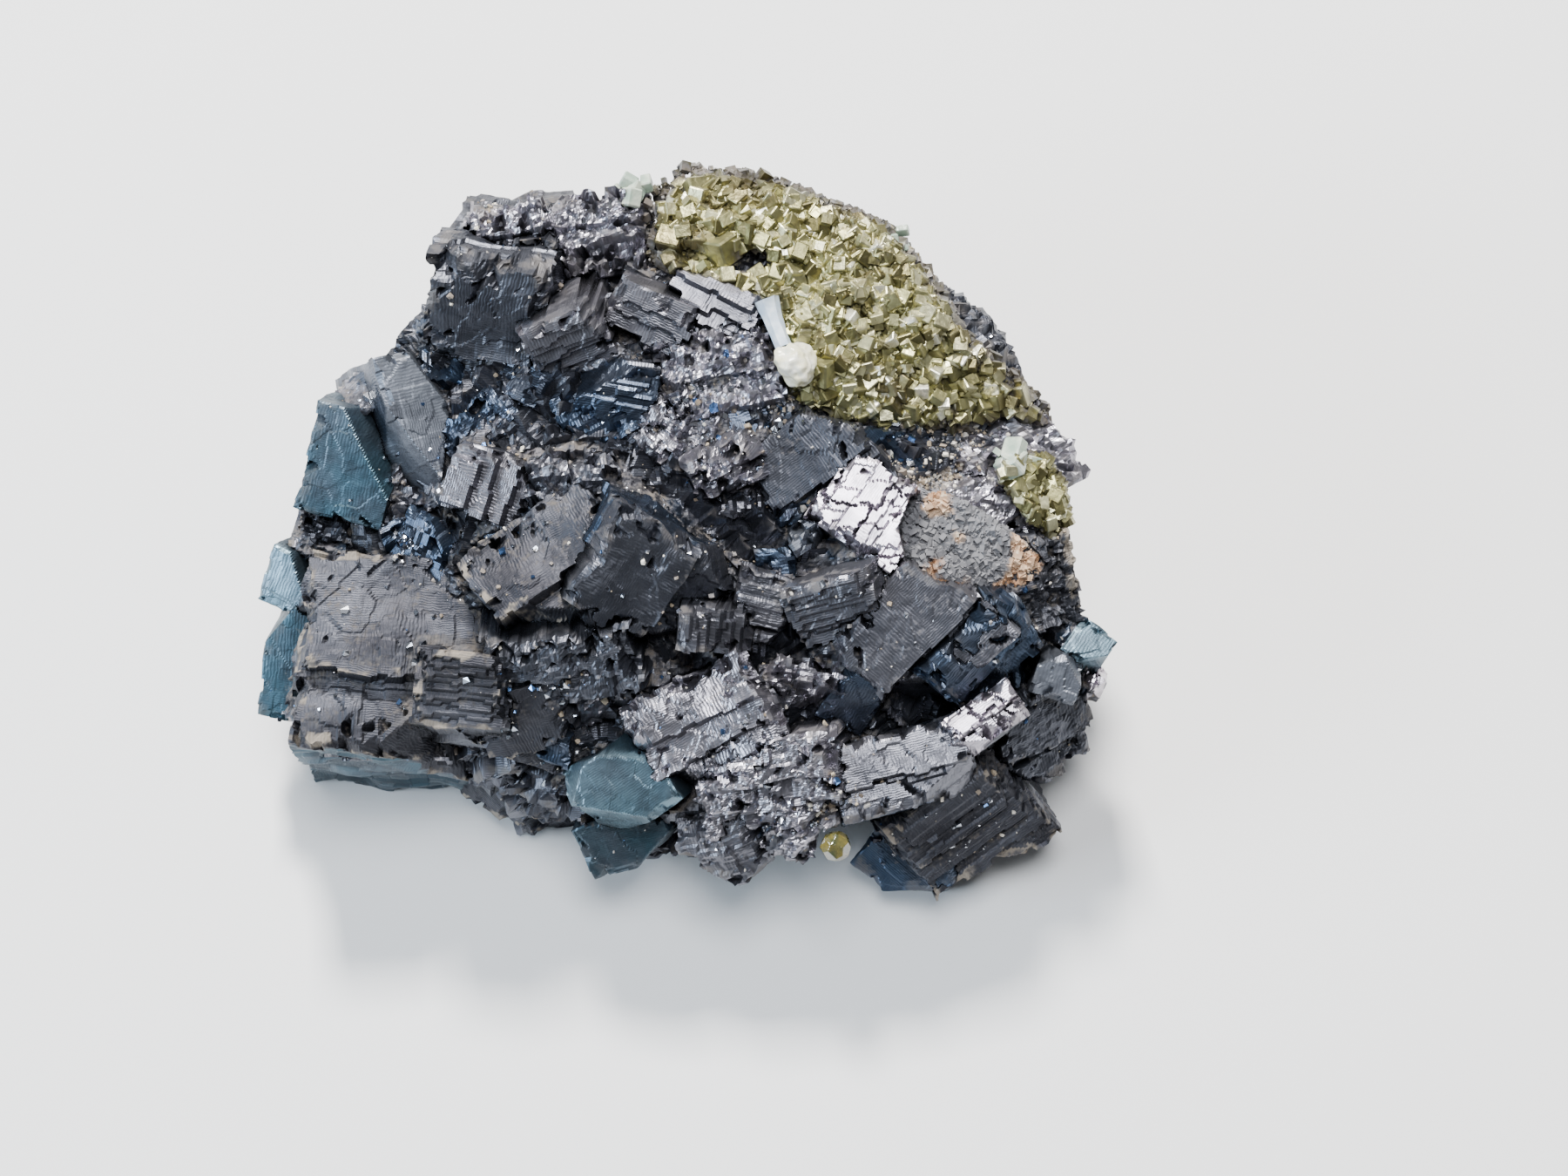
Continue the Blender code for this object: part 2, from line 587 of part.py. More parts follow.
def ball_piece(place, radii, grow=0.0):
    """A ball of flat faces at a place in the view, such as the rod's knob."""
    ball = bmesh.new()
    bmesh.ops.create_icosphere(ball, subdivisions=2, radius=1.0)
    frame = view_frame(24.0, 60.0, 18.0)
    for vert in ball.verts:
        stretched = Vector(part * (radius + grow) for part, radius in zip(vert.co, radii))
        vert.co = (frame @ stretched + seen(*place)) * MM
    return ball


def make_quartz_rod():
    """The rod with its knob, and the pieces that cut the groove that it lies in."""
    rod = new_object("quartz_rod", rod_piece(), colour=(0.62, 0.66, 0.66), roughness=0.3)
    combine(rod, [ball_piece(KNOB_PLACE, KNOB_RADII)], "UNION")
    return rod, (lambda: [rod_piece(GAP), ball_piece(KNOB_PLACE, KNOB_RADII, GAP)])


def make_sphalerite_bead():
    """The single crystal under the front edge, and the piece that cuts its hollow."""
    radii = (BEAD_RADIUS,) * 3
    bead = new_object("sphalerite_bead", ball_piece(BEAD_PLACE, radii), colour=(0.2, 0.19, 0.06), roughness=0.2)
    return bead, [ball_piece(BEAD_PLACE, radii, GAP)]


def floor_cutter():
    """A slab under z = 0, which leaves the stone its flat broken base."""
    slab = bmesh.new()
    side = FLOOR_CUTTER_SIDE
    add_box(slab, Vector((0.0, 0.0, -side / 2)), (side, side, side), Matrix.Identity(3))
    return slab


def make_galena(cutters):
    """The galena: core, base, visible blocks with their ledges, and the hidden belts, joined in one solid."""
    galena = new_object("galena", core_piece(), colour=(0.075, 0.082, 0.1), roughness=0.38, metallic=0.85)
    base = bmesh.new()
    turn = Matrix.Rotation(BASE_TURN, 3, "Z")
    add_box(base, BASE_CENTRE, BASE_SIZE, turn)
    pieces = [base, *filler_pieces()]
    for number, block in enumerate(BLOCKS):
        pieces += block_pieces(number, block)
    for belt in HIDDEN_BELTS:
        pieces += hidden_pieces(belt)
    combine(galena, pieces, "UNION")
    combine(galena, [floor_cutter(), *cutters], "DIFFERENCE")
    keep_outer_skin(galena)
    return galena


def clear_scene():
    """Removes whatever the scene holds."""
    for item in list(bpy.data.objects):
        bpy.data.objects.remove(item)


def main():
    """Builds the specimen."""
    clear_scene()
    crust, crust_pocket = make_crust(PYRITE_CRUST, (0.42, 0.36, 0.16), 0.35, 0.9)
    _, side_pocket = make_crust(PYRITE_SIDE_PATCH, (0.42, 0.37, 0.18), 0.35, 0.9)
    _, earthy_pocket = make_crust(LIMONITE_PATCH, (0.4, 0.25, 0.14), 0.9, 0.0)
    _, groove = make_quartz_rod()
    _, hollow = make_sphalerite_bead()
    combine(crust, groove(), "DIFFERENCE")
    make_galena([crust_pocket, side_pocket, earthy_pocket, *groove(), *hollow])


main()
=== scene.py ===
"""The looks of a hand specimen of galena with pyrite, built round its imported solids.

The galena is a mass of intergrown blocks. Each block is a box whose faces are surfaces worked out with numpy:
cleavage steps, ledges, striations, chipped edges and grit. The blocks of each region are joined in one closed
mesh. Pyrite crystals, limonite, a quartz rod, pale crystals, a sphalerite crystal and loose crumbs lie on them.

Blocks are described as someone sees them who looks down on the stone from the front: across to the right, up
the view, and near, towards the eye. Those measures are millimetres. Every finished mesh is in metres, in the
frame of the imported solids.
"""

from __future__ import annotations

import json
import logging
import math
from dataclasses import dataclass
from enum import Enum

import bmesh
import bpy
import numpy as np
from bpy.types import Material, Mesh, Node, NodeSocket, NodeTree, Object
from mathutils import Matrix, Vector

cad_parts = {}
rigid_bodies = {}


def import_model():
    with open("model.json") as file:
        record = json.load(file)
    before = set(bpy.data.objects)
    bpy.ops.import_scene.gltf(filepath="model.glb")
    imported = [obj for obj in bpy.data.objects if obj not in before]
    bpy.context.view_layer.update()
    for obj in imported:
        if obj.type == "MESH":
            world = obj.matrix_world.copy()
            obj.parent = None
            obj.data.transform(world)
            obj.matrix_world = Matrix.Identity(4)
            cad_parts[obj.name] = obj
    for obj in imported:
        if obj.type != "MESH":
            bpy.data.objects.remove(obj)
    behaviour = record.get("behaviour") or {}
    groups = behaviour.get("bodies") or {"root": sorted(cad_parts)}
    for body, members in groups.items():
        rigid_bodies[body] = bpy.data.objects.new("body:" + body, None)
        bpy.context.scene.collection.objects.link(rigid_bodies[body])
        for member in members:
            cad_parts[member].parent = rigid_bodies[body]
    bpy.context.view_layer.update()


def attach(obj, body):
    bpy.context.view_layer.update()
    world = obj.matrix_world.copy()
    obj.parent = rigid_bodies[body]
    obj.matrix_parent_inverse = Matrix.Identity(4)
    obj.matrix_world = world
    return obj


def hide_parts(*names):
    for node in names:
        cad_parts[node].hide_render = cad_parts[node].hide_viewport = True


log = logging.getLogger("galena_with_pyrite")

Array = np.ndarray
Pair = tuple[float, float]
Triple = tuple[float, float, float]

MM = 0.001
EVEN_STEPS = (0.618034, 0.754878, 0.569840)
CORNER_CUT = (0.18, 0.42)
LEDGE_RISE = 0.55
STAIR_HEIGHT = 2.75
FINE_CELL = 0.16
MEDIUM_CELL = 0.22
SMOOTH_CELL = 0.11
BED_CELL = 0.24
MIRROR_CELL = 0.09
BASE_CELL = 0.6
SUNFLOWER_TURN = math.pi * (3.0 - math.sqrt(5.0))


def even(number: int, which: int = 0) -> float:
    """A share from 0 to 1 for a numbered piece: evenly spread, and the same on every run.

    Args:
        number: the piece's number.
        which: which of the three independent sequences to use.

    Returns:
        The share.
    """
    return (number * EVEN_STEPS[which]) % 1.0


@dataclass(frozen=True)
class View:
    """The view that the blocks are described in.

    A point that shows at (across, up) lies on the ray from the eye through that place of the plane near = 0.
    """

    elevation: float = math.radians(70.0)
    distance: float = 170.0
    axis_across: float = 5.5
    axis_up: float = -2.6
    middle: Triple = (0.35, -2.3, 17.5)

    @property
    def axes(self) -> Array:
        """Rows right, upward and towards the eye, in the stone's own frame."""
        sine, cosine = math.sin(self.elevation), math.cos(self.elevation)
        return np.array([[1.0, 0.0, 0.0], [0.0, sine, cosine], [0.0, -cosine, sine]])

    def seen(self, across: Array, up: Array, near: Array) -> Array:
        """The points that show at (across, up) and lie that near to the eye.

        Args:
            across: places to the right, in mm.
            up: places up the view, in mm.
            near: distances towards the eye, in mm.

        Returns:
            Points in the stone's frame, in mm, one row each.
        """
        across, up, near = np.broadcast_arrays(across, up, near)
        shrink = (self.distance - near) / self.distance
        right = self.axis_across + (across - self.axis_across) * shrink
        rise = self.axis_up + (up - self.axis_up) * shrink
        return np.array(self.middle) + np.stack([right, rise, near], axis=-1) @ self.axes

    def place(self, points: Array) -> Array:
        """The reverse of seen: columns across, up and near of each point.

        Args:
            points: points in the stone's frame, in mm.

        Returns:
            One row of across, up and near for each point.
        """
        right, rise, near = ((points - np.array(self.middle)) @ self.axes.T).T
        shrink = (self.distance - near) / self.distance
        across = self.axis_across + (right - self.axis_across) / shrink
        up = self.axis_up + (rise - self.axis_up) / shrink
        return np.stack([across, up, near], axis=-1)

    def turn(self, spin: float, toward: float, lean: float) -> Array:
        """The turn of a face that looks at the eye, spun in the view, then leaned towards a direction of it.

        Args:
            spin: degrees anticlockwise in the view.
            toward: the direction in the view that the face leans towards, in degrees.
            lean: how far it leans, in degrees.

        Returns:
            A matrix whose columns are the block's own x, y and z.
        """
        right, upward, towards = (Vector(row) for row in self.axes)
        turn, way = math.radians(spin), math.radians(toward)
        along = math.cos(turn) * right + math.sin(turn) * upward
        flat = Matrix((along, towards.cross(along), towards)).transposed()
        downhill = math.cos(way) * right + math.sin(way) * upward
        return np.array(Matrix.Rotation(math.radians(lean), 3, towards.cross(downhill)) @ flat)


VIEW = View()


class Noise:
    """Seeded noise on whole arrays of points."""

    @staticmethod
    def share(cells: Array, seed: int) -> Array:
        """A share from 0 to 1 for each whole-numbered cell, from a mix of its bits.

        Args:
            cells: whole numbers, one row of coordinates for each cell.
            seed: which of the sequences to use.

        Returns:
            One share for each row.
        """
        factors = np.array([374761393, 668265263, 1442695041], dtype=np.uint64)[: cells.shape[-1]]
        mixed = (cells.astype(np.int64).astype(np.uint64) * factors).sum(axis=-1, dtype=np.uint64)
        mixed = (mixed + np.uint64(seed * 2654435761 % (1 << 32))) & np.uint64(0xFFFFFFFF)
        mixed = ((mixed ^ (mixed >> np.uint64(13))) * np.uint64(1274126177)) & np.uint64(0xFFFFFFFF)
        mixed = ((mixed ^ (mixed >> np.uint64(16))) * np.uint64(2246822519)) & np.uint64(0xFFFFFFFF)
        return (mixed >> np.uint64(8)).astype(np.float64) / float(1 << 24)

    @classmethod
    def smooth(cls, points: Array, size: float, seed: int) -> Array:
        """Value noise from -1 to 1: the shares at the corners of each cell, blended by 3t^2 - 2t^3.

        Args:
            points: one row of coordinates for each point.
            size: the side of a cell, in the points' own units.
            seed: which of the sequences to use.

        Returns:
            One value for each point.
        """
        scaled = points / size
        low = np.floor(scaled)
        blend = scaled - low
        blend = blend * blend * (3.0 - 2.0 * blend)
        low = low.astype(np.int64)
        total = np.zeros(len(points))
        for corner in np.ndindex(*(2,) * points.shape[1]):
            weight = np.prod(np.where(np.array(corner) == 1, blend, 1.0 - blend), axis=1)
            total += weight * cls.share(low + np.array(corner), seed)
        return total * 2.0 - 1.0

    @classmethod
    def grains(
        cls, points: Array, size: float, seed: int, blocky: float = 0.6
    ) -> tuple[Array, Array]:
        """Which of many grains, one random middle in each cell, lies nearest to each point.

        The gap to a middle is blocky * (its largest part) + (1 - blocky) * (its length).

        Args:
            points: one row of two or three coordinates for each point.
            size: the side of a cell.
            seed: which of the sequences to use.
            blocky: 0 for rounded grains, 1 for square ones.

        Returns:
            The grain's whole-numbered cell, and the way from its middle in cells.
        """
        scaled = points / size
        low = np.floor(scaled).astype(np.int64)
        nearest = np.full(len(points), 9.0)
        owner = np.zeros(points.shape, dtype=np.int64)
        way = np.zeros(points.shape)
        directions = points.shape[1]
        for step in np.ndindex(*(3,) * directions):
            cell = low + np.array(step) - 1
            shares = [cls.share(cell, seed + 7 * axis) for axis in range(directions)]
            to_spot = cell + np.stack(shares, axis=-1) - scaled
            gap = np.abs(to_spot).max(axis=1) * blocky + np.linalg.norm(to_spot, axis=1) * (1.0 - blocky)
            closer = gap < nearest
            nearest = np.where(closer, gap, nearest)
            owner = np.where(closer[:, None], cell, owner)
            way = np.where(closer[:, None], -to_spot, way)
        return owner, way

    @classmethod
    def facets(cls, points: Array, size: float, seed: int) -> tuple[Array, Array]:
        """Broken grains: each has its own height, and one flat face that tilts its own way.

        Args:
            points: one row of two coordinates for each point.
            size: a grain's width.
            seed: which of the sequences to use.

        Returns:
            The height from about -1 to 1, and each grain's share from 0 to 1.
        """
        owner, way = cls.grains(points, size, seed)
        height = cls.share(owner, seed + 31) - 0.5
        for axis in range(2):
            height += way[:, axis] * (cls.share(owner, seed + 40 + axis) - 0.5) * 1.8
        return height, cls.share(owner, seed + 50)


@dataclass(frozen=True)
class Surface:
    """How a galena face breaks: all sizes are millimetres.

    Steps are cleavage steps, up to twice as deep as step. Striae are parallel grooves, facets the tilted faces of
    broken grains, tiles the bricks of a cracked cleavage, and bricks those of the block's sides. Grit and swell are
    fine and wide unevenness, and chip is how much of the rim is chipped away.
    """

    steps: int = 5
    step: float = 0.14
    striae: float = 0.0
    striae_pitch: float = 0.42
    grit: float = 0.015
    swell: float = 0.05
    facets: float = 0.0
    facet_size: float = 0.6
    chip: float = 0.45
    tiles: float = 0.0
    bricks: float = 0.14


class Habit(Enum):
    """The ways in which the specimen's galena faces break."""

    CLEAVED = Surface(facets=0.04, facet_size=1.4)
    SMOOTH = Surface(steps=0, grit=0.008, swell=0.06, facets=0.035, facet_size=2.2, chip=0.22, bricks=0.04)
    WORN = Surface(
        steps=7, step=0.11, grit=0.03, swell=0.3, facets=0.065, facet_size=1.7, chip=0.55, bricks=0.25
    )
    STEPPED = Surface(steps=10, step=0.16, grit=0.02, facets=0.07, facet_size=0.7, bricks=0.22)
    LEDGED = Surface(
        steps=2, step=0.07, grit=0.012, swell=0.06, facets=0.03, facet_size=1.2, chip=0.3, bricks=0.1
    )
    STRIATED = Surface(steps=3, step=0.15, striae=0.13, grit=0.015, facets=0.03, chip=0.35, bricks=0.22)
    ROUGH = Surface(
        steps=8, step=0.18, grit=0.04, swell=0.25, facets=0.26, facet_size=1.05, chip=0.8, bricks=0.3
    )
    GRANULAR = Surface(
        steps=6, step=0.18, grit=0.04, swell=0.3, facets=0.36, facet_size=0.66, chip=0.8, bricks=0.3
    )
    CRACKED = Surface(steps=3, step=0.16, grit=0.003, swell=0.02, chip=0.4, tiles=0.05, bricks=0.1)


@dataclass(frozen=True)
class Tone:
    """A galena finish: its colour, roughness, share of dust, and depth of fine lines in the shader."""

    colour: Triple
    roughness: float = 0.36
    dust: float = 0.3
    lines: float = 0.4

    @property
    def values(self) -> Array:
        """Roughness, dust and lines as one row."""
        return np.array([self.roughness, self.dust, self.lines])


class Finish(Enum):
    """The finishes that the specimen's galena shows."""

    LEAD = Tone((0.15, 0.15, 0.172), 0.34, 0.42)
    BLACK = Tone((0.07, 0.074, 0.09), 0.36, 0.36)
    DUSTY = Tone((0.04, 0.04, 0.047), 0.52, 0.48, 0.7)
    # BLUE, TEAL and PALE: partly blue tarnish, partly a painted reflection of a bluish surround on faces that lie
    # in shade
    BLUE = Tone((0.036, 0.056, 0.092), 0.3, 0.3)
    TEAL = Tone((0.04, 0.082, 0.108), 0.38, 0.3, 0.2)
    PALE = Tone((0.13, 0.215, 0.265), 0.34, 0.2, 0.2)
    PLATE = Tone((0.15, 0.165, 0.195), 0.4, 0.36, 0.2)
    LEDGE = Tone((0.24, 0.235, 0.265), 0.32, 0.2, 0.5)
    SILVER = Tone((0.36, 0.345, 0.385), 0.26, 0.38, 0.4)
    # MIRROR: a bright cleavage face whose pale pink colour is partly a painted reflection of the light
    MIRROR = Tone((0.6, 0.55, 0.61), 0.27, 0.2, 0.3)


@dataclass(frozen=True)
class Block:
    """One galena block, in the view.

    Place, size and pose are its front face's. The pose is its spin in the view, the direction that it leans
    towards, and how far it leans, in degrees.
    """

    name: str
    place: Triple
    size: Triple
    pose: Triple
    ledges: int
    habit: Habit
    front: Finish
    side: Finish
    cell: float = FINE_CELL


H, F = Habit, Finish
# Each region's blocks, in the order of Block's fields
BLOCK_ROWS = {
    "galena_upper_west": (
        ("west_shoulder", (-11.2, 11.6, -1.5), (7, 9.4, 9), (-8, 250, 28), 1, H.WORN, F.BLACK, F.BLACK),
        ("back_ridge", (-7.3, 17, -2.5), (11, 5, 10), (9, 95, 18), 2, H.GRANULAR, F.SILVER, F.DUSTY),
        ("back_ridge_step", (-9.5, 15.2, -2.2), (6, 4, 9), (12, 265, 22), 1, H.ROUGH, F.DUSTY, F.LEAD),
        ("ledge_stack", (-6.5, 11.4, -1.2), (5.2, 4.8, 8), (23, 262, 24), 7, H.LEDGED, F.LEDGE, F.BLACK),
        ("ledge_stack_east", (-2, 12.4, -0.9), (5.2, 4.2, 8), (-24, 240, 12), 3, H.LEDGED, F.LEDGE, F.BLACK),
        ("striated_cube", (-3.9, 8.2, 0.3), (4.8, 3.4, 7), (-10, 262, 22), 0, H.STRIATED, F.BLUE, F.BLACK),
        ("east_ledge", (1.5, 13, -0.9), (6.2, 4.2, 8), (-27, 80, 8), 3, H.LEDGED, F.LEDGE, F.BLACK),
        ("crumbly_middle", (1.6, 8.6, -0.6), (8.4, 6.8, 8), (15, 120, 8), 2, H.GRANULAR, F.SILVER, F.BLUE),
        ("crumbly_lump", (2.4, 3.8, 0.5), (4.4, 4.2, 7), (25, 230, 14), 2, H.GRANULAR, F.SILVER, F.LEAD),
        ("crumbly_facet", (-0.8, 6, -0.2), (4.2, 4.4, 7), (58, 170, 14), 1, H.ROUGH, F.SILVER, F.LEAD),
    ),
    "galena_west": (
        ("west_round_crystal", (-19, 4.2, -2.8), (5.2, 6.6, 8), (-16, 225, 20), 0, H.SMOOTH, F.TEAL, F.TEAL),
        ("west_plate", (-14.8, 6.6, -1.4), (8.6, 3.6, 9), (-74, 10, 22), 0, H.SMOOTH, F.PLATE, F.BLUE),
        ("west_saddle", (-11, 6.2, -2), (5.6, 4.4, 8), (35, 150, 10), 1, H.ROUGH, F.BLUE, F.BLUE),
        ("frame_block", (-11, 3, -0.4), (4.2, 4.8, 8), (72, 200, 12), 3, H.LEDGED, F.LEDGE, F.BLACK),
        ("pitted_block", (-6.3, 3.2, 0.4), (5.6, 4.2, 8), (5, 100, 12), 2, H.GRANULAR, F.LEAD, F.BLUE),
    ),
    "galena_south_west": (
        ("south_west_block", (-15.6, -6.2, -1.6), (12.4, 11.6, 15), (-4, 78, 13), 1, H.WORN, F.DUSTY, F.TEAL),
        ("stair_block", (-12.6, -8.6, 0.3), (5.6, 5, 9), (-6, 90, 8), 10, H.LEDGED, F.DUSTY, F.BLACK),
        ("south_west_slope", (-8.9, -10.6, -1.4), (6.4, 7, 11), (20, 272, 32), 1, H.WORN, F.DUSTY, F.TEAL),
        ("west_tip", (-22.5, -2.2, -5.2), (2.8, 3.6, 8), (-25, 205, 20), 0, H.SMOOTH, F.PALE, F.TEAL),
        ("west_foot", (-21.7, -6.8, -5.6), (4.6, 7, 9), (-8, 210, 16), 0, H.SMOOTH, F.TEAL, F.TEAL),
    ),
    "galena_summit": (
        ("summit_west_face", (-7.4, -1.4, 2), (9.4, 7.8, 12), (34, 128, 22), 1, H.WORN, F.DUSTY, F.LEAD),
        ("summit_east_face", (-1.7, -2.6, 2.4), (7, 9, 12), (62, 304, 24), 1, H.WORN, F.BLACK, F.BLUE),
        ("summit_south_face", (-6.8, -7.4, 0.3), (9.6, 6.8, 11), (8, 262, 34), 2, H.ROUGH, F.BLACK, F.BLUE),
        ("ladder_block", (1.7, -4.6, 0.9), (3, 4.2, 8), (84, 250, 14), 7, H.LEDGED, F.LEAD, F.BLACK),
        ("ladder_east", (4.2, -4, 0.3), (3.6, 5, 8), (-14, 300, 10), 1, H.STRIATED, F.LEAD, F.BLACK),
    ),
    "galena_east": (
        ("east_dark_face", (7.2, 3.9, 0), (7.2, 6.6, 8), (36, 195, 12), 1, H.CLEAVED, F.BLACK, F.LEAD),
        ("mirror_face", (10.5, 1.8, 0.9), (5, 6.2, 7), (56, 90, 10), 1,
         H.CRACKED, F.MIRROR, F.LEAD, MIRROR_CELL),
        ("mirror_tab", (6.7, 0.5, 0.9), (2.2, 1.8, 5), (30, 100, 6), 0, H.CLEAVED, F.PLATE, F.PLATE),
        ("keel_face", (13.2, -5.4, 1), (8.2, 7.4, 9), (46, 250, 12), 1, H.CLEAVED, F.LEAD, F.LEAD),
        ("keel_stair", (8.5, -3.6, 0.5), (6, 4.4, 8), (16, 228, 15), 8, H.LEDGED, F.LEAD, F.BLACK),
        ("keel_tip", (9.8, -8.6, -0.2), (3, 5.2, 8), (-28, 268, 36), 0, H.SMOOTH, F.BLUE, F.BLUE),
        ("keel_slope", (17, -6.6, -0.9), (6.8, 7.2, 9), (50, 302, 36), 2, H.WORN, F.BLUE, F.LEAD),
        ("east_gritty", (19.4, -3.2, -2.4), (6.2, 8.4, 10), (12, 350, 16), 2, H.GRANULAR, F.DUSTY, F.LEAD),
        ("earthy_bed", (16.2, 0.9, -1.5), (9, 7.6, 8), (-12, 20, 10), 0, H.ROUGH, F.SILVER, F.LEAD),
        ("crust_bed_back", (5.6, 15.6, -1.8), (13, 8.4, 12), (-18, 78, 12), 0,
         H.ROUGH, F.LEAD, F.LEAD, BED_CELL),
        ("crust_bed_east", (11.6, 10.1, -2.4), (8.4, 7.4, 12), (-42, 42, 16), 0,
         H.ROUGH, F.LEAD, F.LEAD, BED_CELL),
        ("crust_bed_rim", (18.3, 5, -3), (6.6, 8, 11), (-62, 18, 24), 0,
         H.GRANULAR, F.SILVER, F.LEAD, BED_CELL),
    ),
    "galena_east_rim": (
        ("south_east_mirror", (16.7, -9.9, 0), (5, 2.6, 6), (36, 90, 10), 1,
         H.CRACKED, F.MIRROR, F.LEAD, MIRROR_CELL),
        ("east_cube", (21, -7.6, -1.2), (2.7, 2.7, 6), (-18, 260, 8), 0, H.SMOOTH, F.PLATE, F.LEAD),
        ("east_rim_cube", (22.7, -5.8, -2.2), (2.4, 2.4, 6), (-36, 60, 14), 0, H.SMOOTH, F.PALE, F.PALE),
        ("east_rim_glint", (23.1, -7.4, -3.4), (1.4, 1.8, 5), (-20, 90, 10), 0,
         H.CRACKED, F.MIRROR, F.LEAD, MIRROR_CELL),
        ("east_overhang", (20, -10.8, -5.2), (6.4, 7.2, 9), (20, 318, 36), 1, H.STEPPED, F.BLACK, F.BLACK),
        ("south_east_foot", (15.6, -16, -6.2), (8.8, 8.6, 11), (38, 292, 24), 4,
         H.STRIATED, F.DUSTY, F.BLACK),
        ("south_east_toe", (12.6, -18, -7.2), (5.6, 5.4, 8), (-38, 222, 30), 0, H.SMOOTH, F.BLUE, F.BLUE),
    ),
    "galena_front": (
        ("front_lobe_west", (1, -10.4, 0.2), (8.4, 6.8, 9), (27, 170, 10), 2, H.WORN, F.SILVER, F.LEAD),
        ("front_arch", (6.8, -7.9, 0), (5.4, 2.8, 7), (-12, 60, 10), 1, H.ROUGH, F.SILVER, F.BLACK),
        ("front_middle", (4.8, -13.6, -0.5), (8.8, 6, 9), (8, 225, 12), 2, H.ROUGH, F.SILVER, F.LEAD),
        ("front_plates", (12.2, -12.7, -0.5), (8.2, 4.6, 8), (14, 95, 6), 1, H.CLEAVED, F.LEAD, F.BLUE),
        ("front_toe", (1.9, -17.4, -2.2), (4.8, 5.4, 8), (20, 245, 26), 0, H.WORN, F.LEAD, F.BLUE),
        ("front_toe_east", (5.6, -16.8, -1.8), (3.4, 3.2, 7), (-15, 260, 20), 0,
         H.GRANULAR, F.SILVER, F.LEAD),
        ("south_pale_cube", (-3.8, -14, -0.4), (5.8, 5, 7), (34, 232, 12), 0, H.SMOOTH, F.PALE, F.TEAL),
        ("south_pale_foot", (-3.4, -16.8, -4.6), (5.6, 3.4, 7), (20, 265, 24), 0, H.SMOOTH, F.TEAL, F.TEAL),
    ),
    # The dark filler in the west crevice: its BLACK colour is painted shade, a dark block where the crevice lies in
    # shadow
    "galena_crevice": (
        ("crevice_floor_painted_shade", (-18.4, 0.9, -5.2), (7.6, 5, 6), (-12, 90, 6), 0, H.ROUGH, F.BLACK, F.BLACK),
        ("crevice_shard", (-15.6, 0.9, -3), (3, 1.8, 4), (24, 60, 20), 0, H.CLEAVED, F.BLUE, F.BLACK),
    ),
}
REGIONS = {name: tuple(Block(*row) for row in rows) for name, rows in BLOCK_ROWS.items()}


@dataclass
class Patch:
    """A closed mesh in the making: points in millimetres, four-sided faces, and values for each point."""

    points: Array
    faces: Array
    tint: Array
    finish: Array
    cleave: Array


class Lattice:
    """The surface of a box cut in cells, as whole arrays."""

    @staticmethod
    def skin(cells: tuple[int, int, int]) -> tuple[Array, Array]:
        """The places and faces of the skin of a lattice of cells, facing outwards.

        Args:
            cells: how many cells there are along x, y and z.

        Returns:
            Whole-numbered places, one row each, and faces of four places each.
        """
        count = np.array(cells)
        index = np.indices(count + 1)
        outer = ((index == 0) | (index == count.reshape(3, 1, 1, 1))).any(axis=0)
        number = np.full(count + 1, -1)
        number[outer] = np.arange(outer.sum())

        below, above = Lattice.grid(number[:, :, 0])[:, ::-1], Lattice.grid(number[:, :, -1])
        west, east = Lattice.grid(number[0])[:, ::-1], Lattice.grid(number[-1])
        south, north = Lattice.grid(number[:, 0]), Lattice.grid(number[:, -1])[:, ::-1]
        return np.argwhere(outer), np.concatenate([below, above, west, east, south, north])

    @staticmethod
    def grid(number: Array) -> Array:
        """The four-sided faces between a grid's numbered points."""
        corners = (number[:-1, :-1], number[1:, :-1], number[1:, 1:], number[:-1, 1:])
        return np.stack(corners, axis=-1).reshape(-1, 4)


